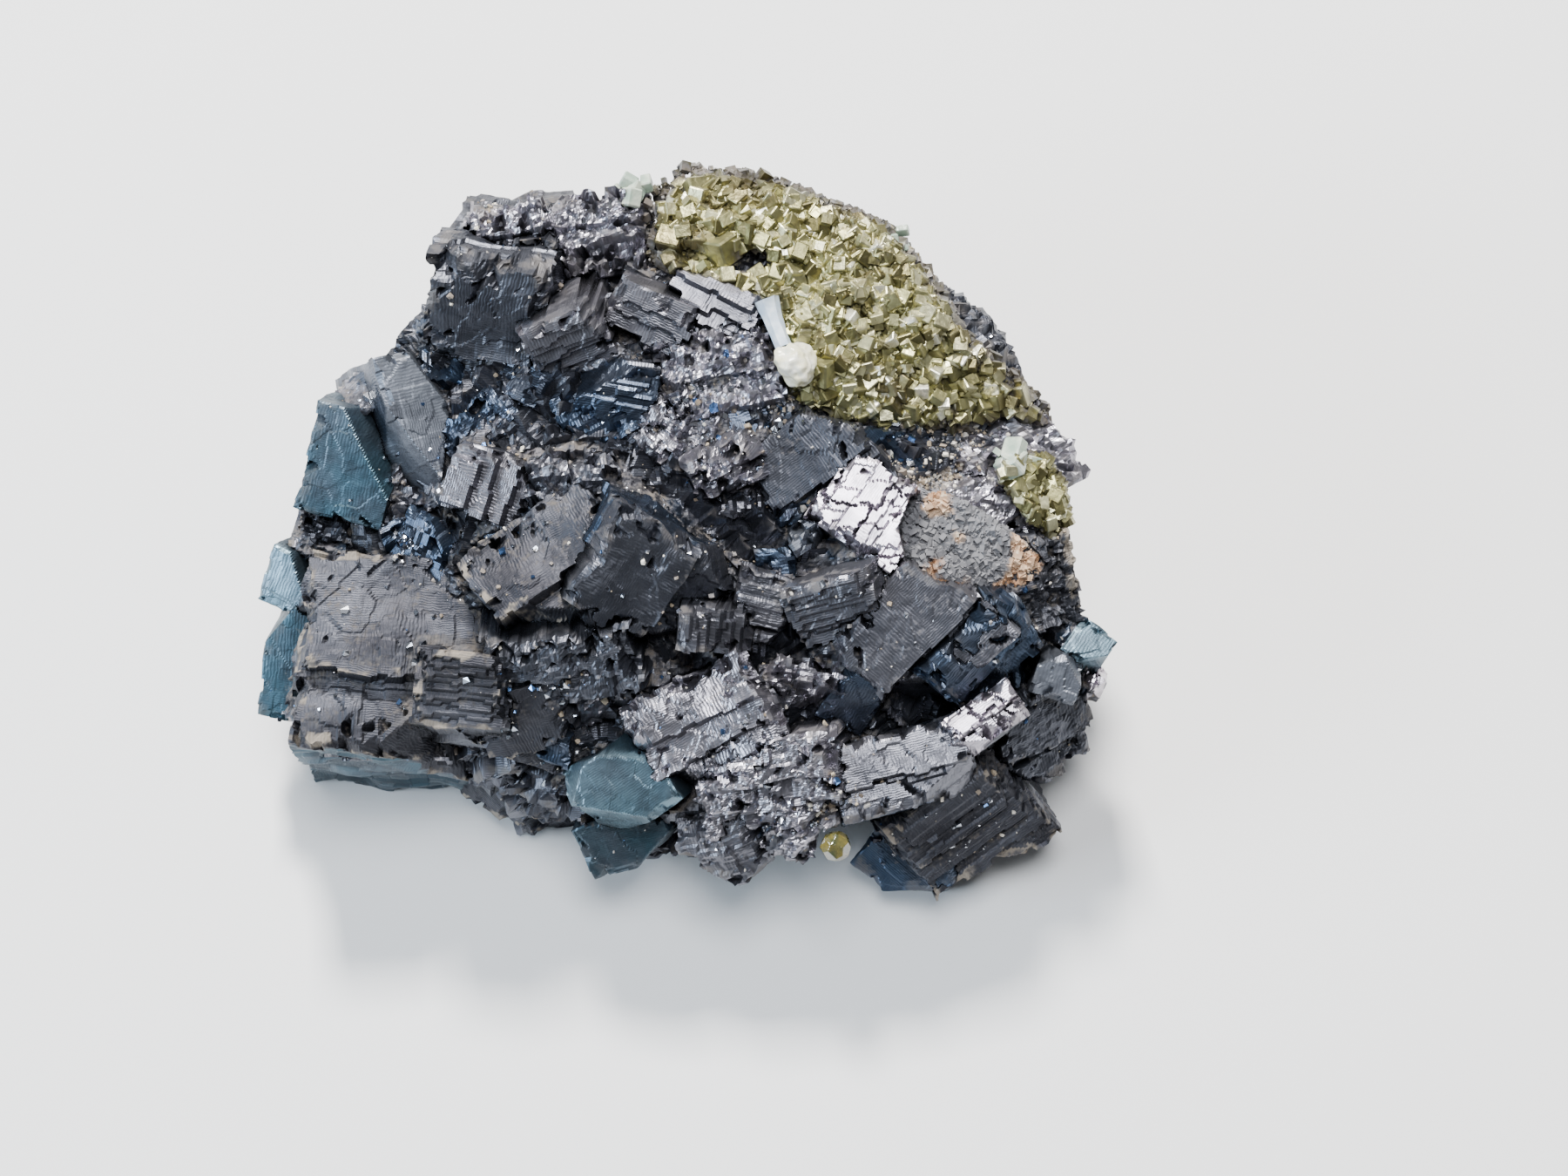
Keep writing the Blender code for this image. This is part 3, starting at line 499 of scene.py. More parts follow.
class BlockShape:
    """Works out one block's skin: a box whose front and sides step, chip and roughen as its habit says.

    A tile set is the tiles' width, the depth of their cracks, and the share of tiles with none.
    A facet set is a share of the habit's facet size, and a share of its facet height.
    """

    tile_sets = ((2.9, 0.3, 0.25), (1.2, 0.12, 0.82))
    facet_sets = ((1.0, 1.0), (2.7, 1.0), (0.55, 0.4))

    def __init__(
        self,
        size: Triple,
        corners: list,
        ledges: int,
        surface: Surface,
        seed: int,
        cell: float,
    ) -> None:
        """Keeps the sizes.

        Args:
            size: width, depth and thickness, in mm.
            corners: sign x, sign y and share of each front corner that is broken off.
            ledges: how many ledges stand on the front face.
            surface: how its faces break.
            seed: the block's own number.
            cell: the side of a cell of its skin, in mm.
        """
        self.width, self.depth, self.thick = size
        self.corners = corners
        self.ledges = ledges
        self.surface = surface
        self.seed = seed
        self.cell = cell
        self.dice = np.random.default_rng(seed)

    def jagged(self, along: Array, pitch: float, reach: float, salt: int) -> Array:
        """A stepped line: a new offset for each pitch, up to reach either way."""
        cell = np.floor(along / pitch)[:, None]
        return reach * (2.0 * Noise.share(cell, self.seed * 13 + salt) - 1.0)

    def steps(self, x: Array, y: Array) -> Array:
        """Cleavage steps: rectangles anchored to the rim, each a step lower, with edges that jog."""
        low = np.zeros(len(x))
        for number in range(self.surface.steps):
            sign_x, sign_y = self.dice.choice([-1, 1], 2)
            reach_x = self.width * self.dice.uniform(0.12, 0.75)
            reach_y = self.depth * self.dice.uniform(0.12, 0.75)
            if number % 3 == 0:
                reach_x = self.width * 1.2
            edge_x = self.width / 2 - reach_x + self.jagged(y, 0.9, 0.35, number)
            edge_y = self.depth / 2 - reach_y + self.jagged(x, 1.1, 0.35, number + 50)
            depth = self.surface.step * self.dice.choice([0.5, 1.0, 1.0, 2.0])
            low += depth * ((sign_x * x > edge_x) & (sign_y * y > edge_y))
        return low

    def ledge_height(self, x: Array, y: Array) -> Array:
        """Ledges that step back across the face, each narrower, shallower and higher."""
        height = np.full(len(x), -99.0)
        rise = min(LEDGE_RISE, STAIR_HEIGHT / max(1, self.ledges))
        for level in range(1, self.ledges + 1):
            depth = self.depth * (1.0 - level / (self.ledges + 1.6))
            width = self.width * (0.93 - 0.28 * (level - 1.0) / self.ledges) / 2
            shift = 0.6 * even(self.seed + level - 1, 1) - 0.3
            start = 0.46 * self.depth - 0.96 * depth + self.jagged(x, 1.9, 0.24, level + 90)
            start += self.jagged(x, 0.5, 0.06, level)
            end = 0.46 * self.depth + 0.04 * depth
            side = np.abs(x - shift) + self.jagged(y, 0.5, 0.2, level + 130)
            height = np.where((y > start) & (y < end) & (side < width), rise * level, height)
        return height

    def tiles(self, x: Array, y: Array) -> Array:
        """Tiles laid like slanted bricks, each with its own height and tilt, and some with open joints."""
        height = np.zeros(len(x))
        for size, depth, least in self.tile_sets:
            row = y / size + self.jagged(x, 0.9, 0.1, 17) + self.jagged(x, 0.27, 0.025, 18)
            column = (x + 0.45 * y) / (1.35 * size) + 0.37 * np.floor(row)
            column += self.jagged(y, 0.8, 0.08, 27) + self.jagged(y, 0.25, 0.02, 28)
            spot = np.stack([row, column], axis=-1)
            owner = np.floor(spot)
            way = spot - owner - 0.5
            gap = ((0.5 - np.abs(way)) * np.array([size, 1.35 * size])).min(axis=1)
            height += 2.6 * self.surface.tiles * (Noise.share(owner, self.seed + 5) - 0.5)
            for axis in range(2):
                tilt = Noise.share(owner, self.seed + 6 + axis) - 0.5
                height += 2.4 * self.surface.tiles * way[:, axis] * tilt
            height -= depth * ((gap < 0.055) & (Noise.share(owner, self.seed + 8) > least))
        return height

    def relief(self, x: Array, y: Array) -> Array:
        """The front's height: broken corners, steps, ledges, striae, tiles, facets and a chipped rim."""
        form = self.surface
        flat = np.stack([x, y], axis=-1) + 31.7 * self.seed
        height = -self.steps(x, y)
        for sign_x, sign_y, share in self.corners:
            cut = 1.0 - share * math.sqrt(3.0) - sign_x * x / self.width - sign_y * y / self.depth
            height = np.minimum(height, self.thick * cut)
        height = np.maximum(height, self.ledge_height(x, y))
        if form.striae:
            line = np.floor((y + self.jagged(x, 1.3, 0.12, 7)) / form.striae_pitch)[:, None]
            height -= form.striae * 2.0 * Noise.share(line, self.seed + 3)
        if form.tiles:
            height += self.tiles(x, y)
        if form.facets:
            for scale, weight in self.facet_sets:
                lumps, _ = Noise.facets(flat, form.facet_size * scale, self.seed + int(9 * scale))
                height += form.facets * weight * lumps
        rim = np.minimum(self.width / 2 - np.abs(x), self.depth / 2 - np.abs(y))
        chip = form.chip * (0.5 + 0.7 * Noise.facets(flat, 0.9, self.seed + 1)[0]) ** 2 * 2.4 - 0.7 * rim
        return height - np.clip(chip, 0.0, None)

    def bricks(self, along: Array, z: Array, salt: int) -> Array:
        """How far a side face stands back: a share for each brick of a wall of broken cleavage."""
        course = np.floor(z / 0.48 + self.jagged(along, 2.3, 0.3, salt))
        brick = np.floor(along / 1.9 + 0.5 * course)
        return self.surface.bricks * Noise.share(np.stack([course, brick], axis=-1), self.seed + salt)

    def build(self, face: Array, turn: Array, front: Tone, side: Tone) -> Patch:
        """The block's skin in the stone's frame.

        Args:
            face: the middle of its front face, in mm.
            turn: the matrix of its own axes.
            front: the finish of its front face.
            side: the finish of its sides.

        Returns:
            The closed patch.
        """
        fine = np.arange(0.0, 3.2, self.cell * 1.25)
        levels = -np.concatenate([fine, np.arange(3.4, self.thick, 0.45), [self.thick]])[::-1]
        across, up = (max(4, round(side / self.cell)) for side in (self.width, self.depth))
        cells = (across, up, len(levels) - 1)
        places, faces = Lattice.skin(cells)
        x = (places[:, 0] / cells[0] - 0.5) * self.width
        y = (places[:, 1] / cells[1] - 0.5) * self.depth
        z = levels[places[:, 2]]
        height = self.relief(x, y)
        top = places[:, 2] == cells[2]
        z = np.where(top, height, np.minimum(z, height))
        for salt, sign in ((200, 1), (211, -1)):
            x = x * (1.0 - 2.0 * self.bricks(y, z, salt) / self.width * (sign * x > 0))
        for salt, sign in ((223, 1), (237, -1)):
            y = y * (1.0 - 2.0 * self.bricks(x, z, salt) / self.depth * (sign * y > 0))
        own = np.stack([x, y, z], axis=-1)
        moved = own.copy()
        inner = np.array([self.width, self.depth]) * 0.5
        for axis in range(2):
            bulge = 0.6 * np.clip(2.0 * self.surface.swell + 0.2, 0.2, 0.5)
            bulge = bulge * Noise.smooth(own + 5, 1.7, self.seed + 70 + axis)
            moved[:, axis] += bulge * np.clip(np.abs(own[:, axis]) / inner[axis], 0.0, 1.0) ** 3
        for axis in range(3):
            salt = self.seed * 3 + axis
            moved[:, axis] += self.surface.swell * Noise.smooth(own + self.seed, 2.3, salt)
            moved[:, axis] += self.surface.grit * Noise.smooth(own + self.seed, 0.36, salt + 60)
        is_side = ~top & (height - z > 0.25)
        tint = np.where(is_side[:, None], np.array(side.colour), np.array(front.colour))
        values = np.where(is_side[:, None], side.values, front.values)
        shade = 0.85 + 0.3 * even(self.seed, 2)
        return Patch(face + moved @ turn.T, faces, tint * shade, values, own)


class Stock:
    """Turns patches into Blender meshes, and joins them."""

    @staticmethod
    def mesh(name: str, points: Array, faces: Array) -> Mesh:
        """A mesh from whole arrays.

        Args:
            name: the mesh's name.
            points: points in millimetres.
            faces: faces that all have the same number of corners.

        Returns:
            The mesh, in metres.
        """
        made = bpy.data.meshes.new(name)
        made.vertices.add(len(points))
        made.vertices.foreach_set("co", (points * MM).astype(np.float32).ravel())
        made.loops.add(faces.size)
        made.loops.foreach_set("vertex_index", faces.astype(np.int32).ravel())
        made.polygons.add(len(faces))
        made.polygons.foreach_set("loop_start", np.arange(0, faces.size, faces.shape[1], dtype=np.int32))
        made.update(calc_edges=True)
        Stock.flatten(made)
        return made

    @staticmethod
    def flatten(mesh: Mesh) -> None:
        """Shades each face flat, as crystal faces are."""
        layer = mesh.attributes.get("sharp_face") or mesh.attributes.new("sharp_face", "BOOLEAN", "FACE")
        layer.data.foreach_set("value", np.ones(len(mesh.polygons), dtype=bool))

    @staticmethod
    def write(mesh: Mesh, name: str, values: Array) -> None:
        """Writes one number, or one row of three, for each point as a named attribute."""
        kind, key = ("FLOAT", "value") if values.ndim == 1 else ("FLOAT_VECTOR", "vector")
        layer = mesh.attributes.get(name) or mesh.attributes.new(name, kind, "POINT")
        layer.data.foreach_set(key, values.astype(np.float32).ravel())

    @staticmethod
    def read(mesh: Mesh, name: str, width: int) -> Array:
        """Reads a point attribute back as an array with that many columns."""
        values = np.zeros(len(mesh.vertices) * width, dtype=np.float32)
        layer = mesh.attributes[name]
        layer.data.foreach_get("value" if width == 1 else "vector", values)
        return values.astype(np.float64).reshape(-1, width)

    @staticmethod
    def place(mesh: Mesh) -> Object:
        """An object for a mesh, with the mesh's name, linked to the scene."""
        made = bpy.data.objects.new(mesh.name, mesh)
        bpy.context.scene.collection.objects.link(made)
        return made

    @classmethod
    def patch_mesh(cls, name: str, patch: Patch) -> Mesh:
        """A mesh from a patch, with its tint, finish and own coordinates as attributes."""
        mesh = cls.mesh(name, patch.points, patch.faces)
        cls.write(mesh, "tint", patch.tint)
        cls.write(mesh, "finish", patch.finish)
        cls.write(mesh, "cleave", patch.cleave)
        return mesh

    @classmethod
    def join(cls, name: str, patches: list[Patch]) -> Object:
        """One closed object: the union of the patches, cut off at the floor that the stone rests on.

        Args:
            name: the piece's name.
            patches: closed patches that overlap.

        Returns:
            The object, linked to the scene.
        """
        helpers = bpy.data.collections.new(name + "_blocks")
        bpy.context.scene.collection.children.link(helpers)
        made = cls.place(cls.patch_mesh(name, patches[0]))
        for number, patch in enumerate(patches[1:]):
            mesh = cls.patch_mesh(f"{name}_block_{number}", patch)
            helpers.objects.link(bpy.data.objects.new(mesh.name, mesh))
        ground = cls.ground_cutter()
        for operation in ("UNION", "DIFFERENCE"):
            boolean = made.modifiers.new(operation.lower(), "BOOLEAN")
            boolean.operation = operation
            boolean.solver = "MANIFOLD"
            if operation == "UNION":
                boolean.operand_type = "COLLECTION"
                boolean.collection = helpers
            else:
                boolean.object = ground
        bpy.context.view_layer.update()
        graph = bpy.context.evaluated_depsgraph_get()
        baked = bpy.data.meshes.new_from_object(made.evaluated_get(graph))
        made.modifiers.clear()
        made.data = baked
        cls.flatten(baked)
        for helper in [*helpers.objects, ground]:
            bpy.data.objects.remove(helper)
        bpy.data.collections.remove(helpers)
        return made

    @classmethod
    def ground_cutter(cls) -> Object:
        """A slab under the stone."""
        places, faces = Lattice.skin((1, 1, 1))
        points = (places - np.array([0.5, 0.5, 1.0])) * np.array([120.0, 120.0, 60.0])
        slab = Patch(points, faces, points * 0 + 0.05, points * 0 + 0.4, points * 0)
        return cls.place(cls.patch_mesh("ground_cutter", slab))


def smooth_step(low: float, high: float, values: Array) -> Array:
    """0 below low, 1 above high, and 3t^2 - 2t^3 between them."""
    share = np.clip((values - low) / (high - low), 0.0, 1.0)
    return share * share * (3.0 - 2.0 * share)


@dataclass(frozen=True)
class Bed:
    """The ground of a crust, in the view: a clockwise outline, and a dome that falls away from its crown."""

    outline: tuple[Pair, ...]
    heart: Pair
    crown: float
    crown_place: Pair
    fall: Pair

    def near(self, across: Array, up: Array) -> Array:
        """How near to the eye the bed is: crown - fall * (distance from the crown's place)^2, each way."""
        a, u = self.crown_place
        return self.crown - self.fall[0] * (across - a) ** 2 - self.fall[1] * (up - u) ** 2

    def spot(self, bearing: Array, radius: Array) -> tuple[Array, Array]:
        """The places across and up at a bearing and a distance from the heart."""
        return self.heart[0] + radius * np.cos(bearing), self.heart[1] + radius * np.sin(bearing)

    def reach(self, bearings: Array) -> Array:
        """How far the outline is from the heart along each bearing (the outline is seen whole from there)."""
        corners = np.array(self.outline) - np.array(self.heart)
        after = np.roll(corners, -1, axis=0)
        way = np.stack([np.cos(bearings), np.sin(bearings)], axis=-1)[:, None, :]
        side = (after - corners)[None]
        cross = way[..., 0] * side[..., 1] - way[..., 1] * side[..., 0]
        cross = np.where(np.abs(cross) < 1e-9, 1e-9, cross)
        distance = (corners[None, :, 0] * side[..., 1] - corners[None, :, 1] * side[..., 0]) / cross
        along = (corners[None, :, 0] * way[..., 1] - corners[None, :, 1] * way[..., 0]) / cross
        hit = (distance > 0) & (along >= -1e-6) & (along <= 1 + 1e-6)
        return np.where(hit, distance, 0.0).max(axis=1)

    def share(self, across: Array, up: Array) -> Array:
        """How far out a place lies from the heart: 0 there, 1 on the outline, more outside."""
        x, y = across - self.heart[0], up - self.heart[1]
        return np.hypot(x, y) / np.maximum(self.reach(np.arctan2(y, x)), 1e-6)


PYRITE_BED = Bed(
    outline=(
        (-2.0, 19.0), (0.2, 20.9), (4.6, 20.2), (8.5, 18.7), (10.9, 17.8), (13.4, 15.0), (15.8, 11.4),
        (19.0, 8.8), (20.6, 6.2), (18.5, 6.9), (16.3, 6.0), (13.4, 6.0), (10.7, 6.3), (7.5, 7.1),
        (5.7, 8.4), (5.4, 10.9), (4.6, 13.6), (1.6, 14.8), (-1.8, 15.6),
    ),
    heart=(8.0, 14.0),
    crown=-1.1,
    crown_place=(4.0, 12.0),
    fall=(0.012, 0.024),
)
SIDE_BED = Bed(
    outline=(
        (17.3, 3.8), (18.4, 4.9), (20.1, 4.8), (21.3, 3.0), (21.5, 0.9), (20.5, 0.1), (19.5, 1.1),
        (18.5, 2.4),
    ),
    heart=(19.7, 2.9),
    crown=-1.7,
    crown_place=(17.5, 3.0),
    fall=(0.11, 0.02),
)
LIMONITE_BED = Bed(
    outline=(
        (12.6, 2.6), (14.2, 3.0), (15.8, 2.2), (17.6, 1.0), (19.2, 0.0), (20.3, -1.3), (19.0, -2.6),
        (16.6, -2.5), (14.2, -2.3), (12.3, -1.0), (11.9, 0.8),
    ),
    heart=(15.8, 0.0),
    crown=-0.9,
    crown_place=(15.0, 0.0),
    fall=(0.03, 0.02),
)
LARGE_PYRITES = (
    (3.7, 17.4, 2.6), (15.5, 8.3, 2.1), (6.9, 17.0, 2.0), (12.2, 14.6, 2.1), (18.6, 8.2, 1.7),
    (11.6, 7.6, 2.3), (8.5, 18.0, 1.9), (-0.8, 16.9, 2.1), (9.4, 12.2, 2.2), (0.6, 19.6, 1.9),
    (11.2, 10.2, 2.4), (13.6, 9.8, 2.2), (7.4, 14.6, 2.5), (14.8, 12.2, 2.0), (10.4, 15.4, 2.3),
    (7.6, 9.6, 2.1), (17.0, 7.4, 1.9), (5.8, 19.0, 2.1), (12.6, 12.4, 2.1), (2.0, 16.4, 2.2),
)
SIDE_PYRITES = ((18.2, 3.8, 1.9), (20.2, 2.4, 1.7))


# Where the pale crumbs lie thickest, in the view: place, reach, and how many times more
GANGUE_SPOTS = (
    (8.4, -14.9, 1.1, 110.0), (2.2, 7.0, 3.0, 5.0), (15.6, 6.0, 2.6, 14.0), (20.4, 0.4, 1.8, 8.0),
    (6.4, 8.6, 1.2, 20.0), (-10.4, 16.4, 3.0, 3.0), (13.6, 3.6, 1.6, 12.0),
)

# The same for the crumbs of fresh galena, whose palest and blue colours are partly painted glints
SPARKLE_SPOTS = (
    (2.2, 7.0, 3.0, 6.0), (3.0, -9.6, 2.6, 2.0), (13.4, 6.0, 2.2, 8.0), (5.4, -16.6, 1.3, 14.0),
    (-15.4, 0.4, 0.9, 30.0), (-9.0, 0.6, 1.2, 6.0), (-7.6, -8.4, 1.0, 8.0), (-3.6, 18.4, 2.0, 6.0),
)

# The faces that the granular infill leaves bare
CLEAR_HABITS = tuple(habit for habit in Habit if habit not in (Habit.ROUGH, Habit.GRANULAR))

# Cracks and holes that stay open, in the view: from, to, and half their width
CREVICES = (
    ((-20.0, 1.4), (-13.4, -0.4), 1.3),
    ((6.4, -10.2), (9.6, -10.7), 1.0),
    ((-6.7, -11.7), (-3.3, -10.2), 0.5),
    ((-3.3, -10.2), (0.6, -7.7), 0.45),
    ((0.6, -7.7), (5.8, -5.9), 0.4),
    ((5.8, -5.9), (9.6, -10.4), 0.45),
    ((-13.8, 9.4), (-4.3, 6.5), 0.55),
    ((2.2, 1.4), (3.0, 2.2), 0.7),
    ((1.4, 10.9), (2.8, 10.6), 0.4),
    ((-5.2, 16.2), (-5.2, 15.8), 0.4),
    ((2.2, 15.4), (4.4, 15.6), 0.7),
)


@dataclass
class GalenaMass:
    """The galena: regions of intergrown blocks in front, and the lump, base and outer blocks behind them."""

    core_place: Triple = (0.5, 0.8, -10.0)
    core_radii: Triple = (20.3, 17.3, 9.4)
    squareness: float = 2.6
    base_size: Triple = (27.0, 21.0, 9.0)
    base_centre: Triple = (0.4, -1.3, 3.0)
    base_turn: float = 14.0
    filler_count: int = 60
    filler_spread: Pair = (19.4, 16.4)
    filler_size: Pair = (3.0, 5.6)
    filler_thick: float = 6.0
    filler_lean: float = 34.0
    hollow_cell: float = 0.3
    sheet_cell: float = 0.2
    sheet_corner: Pair = (-26.0, -22.0)
    sheet_count: tuple[int, int] = (262, 222)
    sheet_thick: float = 2.0
    bare_drop: float = 1.5
    crevice_drop: float = 3.5

    def corners(self, number: int, count: int) -> list:
        """Which front corners of a numbered block are broken off, and how much of each."""
        signs = ((-1, -1), (1, -1), (1, 1), (-1, 1))
        first = int(4 * even(number, 1))
        low, high = CORNER_CUT
        shares = [low + (high - low) * even(7 * number + 3 * step, 2) for step in range(count)]
        return [(*signs[(first + step) % 4], share) for step, share in enumerate(shares)]

    def block(self, number: int, block: Block) -> Patch:
        """The skin of one block of the front."""
        corners = self.corners(number, 1 + int(3 * even(number)))
        cell = SMOOTH_CELL if block.habit is Habit.SMOOTH else block.cell
        shape = BlockShape(block.size, corners, block.ledges, block.habit.value, number, cell)
        face, turn = VIEW.seen(*block.place), VIEW.turn(*block.pose)
        return shape.build(face, turn, block.front.value, block.side.value)

    def core_near(self, across: float, up: float) -> float:
        """How near to the eye the lump's own surface is at a place in the view."""
        shares = abs((across - self.core_place[0]) / self.core_radii[0]) ** self.squareness
        shares += abs((up - self.core_place[1]) / self.core_radii[1]) ** self.squareness
        return self.core_place[2] + self.core_radii[2] * max(0.0, 1.0 - shares) ** (1.0 / self.squareness)

    def core(self) -> Patch:
        """The lump in the middle: a cube's skin blown up to a squared-off ball, |x|^p + |y|^p + |z|^p = 1."""
        places, faces = Lattice.skin((116, 100, 56))
        box = places / np.array([58.0, 50.0, 28.0]) - 1.0
        way = box / np.linalg.norm(box, axis=1, keepdims=True)
        reach = (np.abs(way) ** self.squareness).sum(axis=1) ** (-1.0 / self.squareness)
        own = way * reach[:, None] * np.array(self.core_radii)
        own *= 1.0 + 0.03 * Noise.smooth(own, 4.0, 901)[:, None]
        outward = np.sign(way) * np.abs(own / self.core_radii) ** (self.squareness - 1.0) / self.core_radii
        outward /= np.linalg.norm(outward, axis=1, keepdims=True)
        for grain, step, seed in ((6.0, 1.3, 911), (2.6, 0.5, 912), (1.1, 0.2, 913)):
            own = self.terraces(own, outward, grain, step, seed)
        right, rise, near = self.core_place
        middle = np.array(VIEW.middle) + np.array([right, rise, near]) @ VIEW.axes
        tone = Finish.BLACK.value
        tint = np.tile(np.array(tone.colour), (len(own), 1))
        values = np.tile(np.array([tone.roughness, 0.4, tone.lines]), (len(own), 1))
        return Patch(middle + own @ VIEW.axes, faces, tint, values, own)

    @staticmethod
    def terraces(points: Array, outward: Array, grain: float, step: float, seed: int) -> Array:
        """Breaks a surface along the cube faces of many grains, each turned its own way.

        A point belongs to the grain whose middle is nearest. Along the grain's axis that looks outwards most,
        its place is rounded to whole steps, which gives flat terraces with steep risers.

        Args:
            points: the surface's points.
            outward: the way out of the surface at each point.
            grain: the size of a grain.
            step: the height of a terrace.
            seed: which of the sequences to use.

        Returns:
            The moved points.
        """
        owner, _ = Noise.grains(points, grain, seed, blocky=0.0)
        ways = np.stack([Noise.share(owner, seed + 30 + axis) - 0.5 for axis in range(3)], axis=-1)
        first = ways / np.linalg.norm(ways, axis=1, keepdims=True)
        second = np.cross(first, np.stack([ways[:, 1], ways[:, 2], -ways[:, 0]], axis=-1))
        second /= np.linalg.norm(second, axis=1, keepdims=True)
        axes = np.stack([first, second, np.cross(first, second)], axis=1)
        facing = np.abs(np.einsum("nij,nj->ni", axes, outward)).argmax(axis=1)
        axis = axes[np.arange(len(points)), facing]
        along = (points * axis).sum(axis=1)
        offset = Noise.share(owner, seed + 40)
        moved = np.round(along / step + offset) - offset
        return points + (moved * step - along)[:, None] * axis

    def base(self) -> Patch:
        """The rough block that the stone stands on."""
        shape = BlockShape(self.base_size, [], 0, Habit.ROUGH.value, 77, BASE_CELL)
        turn = np.array(Matrix.Rotation(math.radians(self.base_turn), 3, "Z"))
        top = np.array(self.base_centre) + np.array([0.0, 0.0, self.base_size[2] / 2])
        return shape.build(top, turn, Finish.BLACK.value, Finish.LEAD.value)

    def fillers(self) -> list[Patch]:
        """Small blocks between the large ones, spread like the seeds of a sunflower over the lump."""
        made = []
        for place in range(self.filler_count):
            share = math.sqrt((place + 0.5) / self.filler_count)
            bearing = place * SUNFLOWER_TURN
            pick, other = even(place), even(place, 1)
            across = self.core_place[0] + self.filler_spread[0] * share * math.cos(bearing)
            up = self.core_place[1] + self.filler_spread[1] * share * math.sin(bearing)
            face = VIEW.seen(across, up, self.core_near(across, up) + 0.9 * other)
            turn = VIEW.turn(360.0 * other, math.degrees(bearing), self.filler_lean * share**2 + 12.0 * pick)
            width = self.filler_size[0] + (self.filler_size[1] - self.filler_size[0]) * pick
            corner = (1 if pick > 0.5 else -1, 1 if other > 0.5 else -1, 0.2 + 0.2 * pick)
            size = (width, width * (0.6 + 0.4 * other), self.filler_thick)
            habit = (Habit.STEPPED, Habit.ROUGH, Habit.CLEAVED)[place % 3]
            front = (Finish.LEAD, Finish.BLACK, Finish.BLUE)[place % 3]
            side = (Finish.BLACK, Finish.BLACK, Finish.LEAD)[place % 3]
            shape = BlockShape(size, [corner], 0, habit.value, 100 + place, MEDIUM_CELL)
            made.append(shape.build(face, turn, front.value, side.value))
        return made

    def belt(
        self, count: int, height: float, radii: tuple, sizes: tuple, bearings: tuple, seed: int
    ) -> list[Patch]:
        """A belt of blocks round the stone, each with its front face looking outwards.

        Args:
            count: how many there are.
            height: how high their middles are, in mm.
            radii: the belt's half width and half depth, in mm.
            sizes: their smallest and largest side, in mm.
            bearings: the first and last bearing, in degrees anticlockwise from +X as seen from above.
            seed: the number of the first of them.

        Returns:
            One patch each.
        """
        made = []
        for place in range(count):
            share = (place + 0.2 + 0.6 * even(place)) / count
            bearing = math.radians(bearings[0] + share * (bearings[1] - bearings[0]))
            outward = Vector((math.cos(bearing), math.sin(bearing), 0.45 * even(place, 1) - 0.1)).normalized()
            face = np.array([radii[0] * math.cos(bearing), radii[1] * math.sin(bearing), 0.0])
            face[2] = height + 2.0 * even(place, 2) - 1.0
            size = tuple(sizes[0] + (sizes[1] - sizes[0]) * even(3 * place + 1, axis) for axis in range(3))
            turn = outward.to_track_quat("Z", "Y").to_matrix()
            turn = np.array(turn @ Matrix.Rotation(math.tau * even(place + 5), 3, "Z"))
            habit = (Habit.STEPPED, Habit.CLEAVED, Habit.ROUGH)[place % 3]
            front = (Finish.LEAD, Finish.BLACK, Finish.DUSTY)[(place + 1) % 3]
            shape = BlockShape(size, self.corners(place, 2), 0, habit.value, seed + place, MEDIUM_CELL)
            made.append(shape.build(face, turn, front.value, Finish.LEAD.value))
        return made

    def build(self) -> list[Object]:
        """Joins each region's blocks, sinks them under the crusts, and works out each point's shelter.

        Returns:
            The galena's pieces.
        """
        number = 0
        made = []
        for name, blocks in REGIONS.items():
            patches = [self.block(number + step, block) for step, block in enumerate(blocks)]
            number += len(blocks)
            made.append(Stock.join(name, patches))
        outer = self.belt(12, 5.0, (18.8, 16.6), (6.0, 9.0), (-170.0, 180.0), 200)
        outer += self.belt(7, 10.4, (17.7, 17.3), (6.0, 8.4), (20.0, 165.0), 220)
        made.append(Stock.join("galena_back", [self.core(), self.base(), *outer]))
        made.append(Stock.join("galena_between", self.fillers()))
        for piece in made:
            self.sink(piece.data)
        made.append(self.infill([piece.data for piece in made]))
        self.shelter([piece.data for piece in made])
        return made

    @staticmethod
    def top_surface(views: Array, low: Array, cell: float, count: tuple, floor: float) -> Array:
        """The nearest point in each cell of a grid over the view.

        Args:
            views: columns across, up and near of the points.
            low: the grid's lower left corner.
            cell: the side of a cell.
            count: how many cells there are each way.
            floor: the value of an empty cell.

        Returns:
            The grid of nearest points.
        """
        top = np.full(count, floor)
        spot = ((views[:, :2] - low) / cell).astype(int)
        np.maximum.at(top, (spot[:, 0], spot[:, 1]), views[:, 2])
        return top

    @staticmethod
    def neighbours(grid: Array) -> list[Array]:
        """The grid moved by one cell to each of its four sides."""
        return [np.roll(grid, turn, axis) for axis in (0, 1) for turn in (-1, 1)]

    def sheet_level(self, meshes: list[Mesh]) -> tuple[Array, Array]:
        """The blocks' top surface, blurred over its known cells, and which cells lie inside its outline."""
        views = np.concatenate([VIEW.place(self.points(mesh)) for mesh in meshes])
        low = np.array(self.sheet_corner)
        top = self.top_surface(views, low, self.sheet_cell, self.sheet_count, -30.0)
        for _ in range(2):
            top = np.maximum.reduce([np.where(top < -20.0, moved, top) for moved in self.neighbours(top)])
        known = (top > -9.0).astype(float)
        total, weight = top * known, known
        for axis in (0, 1):
            for _ in range(3):
                total = sum(np.roll(total, turn, axis) for turn in range(-4, 5))
                weight = sum(np.roll(weight, turn, axis) for turn in range(-4, 5))
        kept = known > 0
        for _ in range(4):
            kept = kept & np.logical_and.reduce(self.neighbours(kept))
        return total / np.maximum(weight, 1e-9), kept

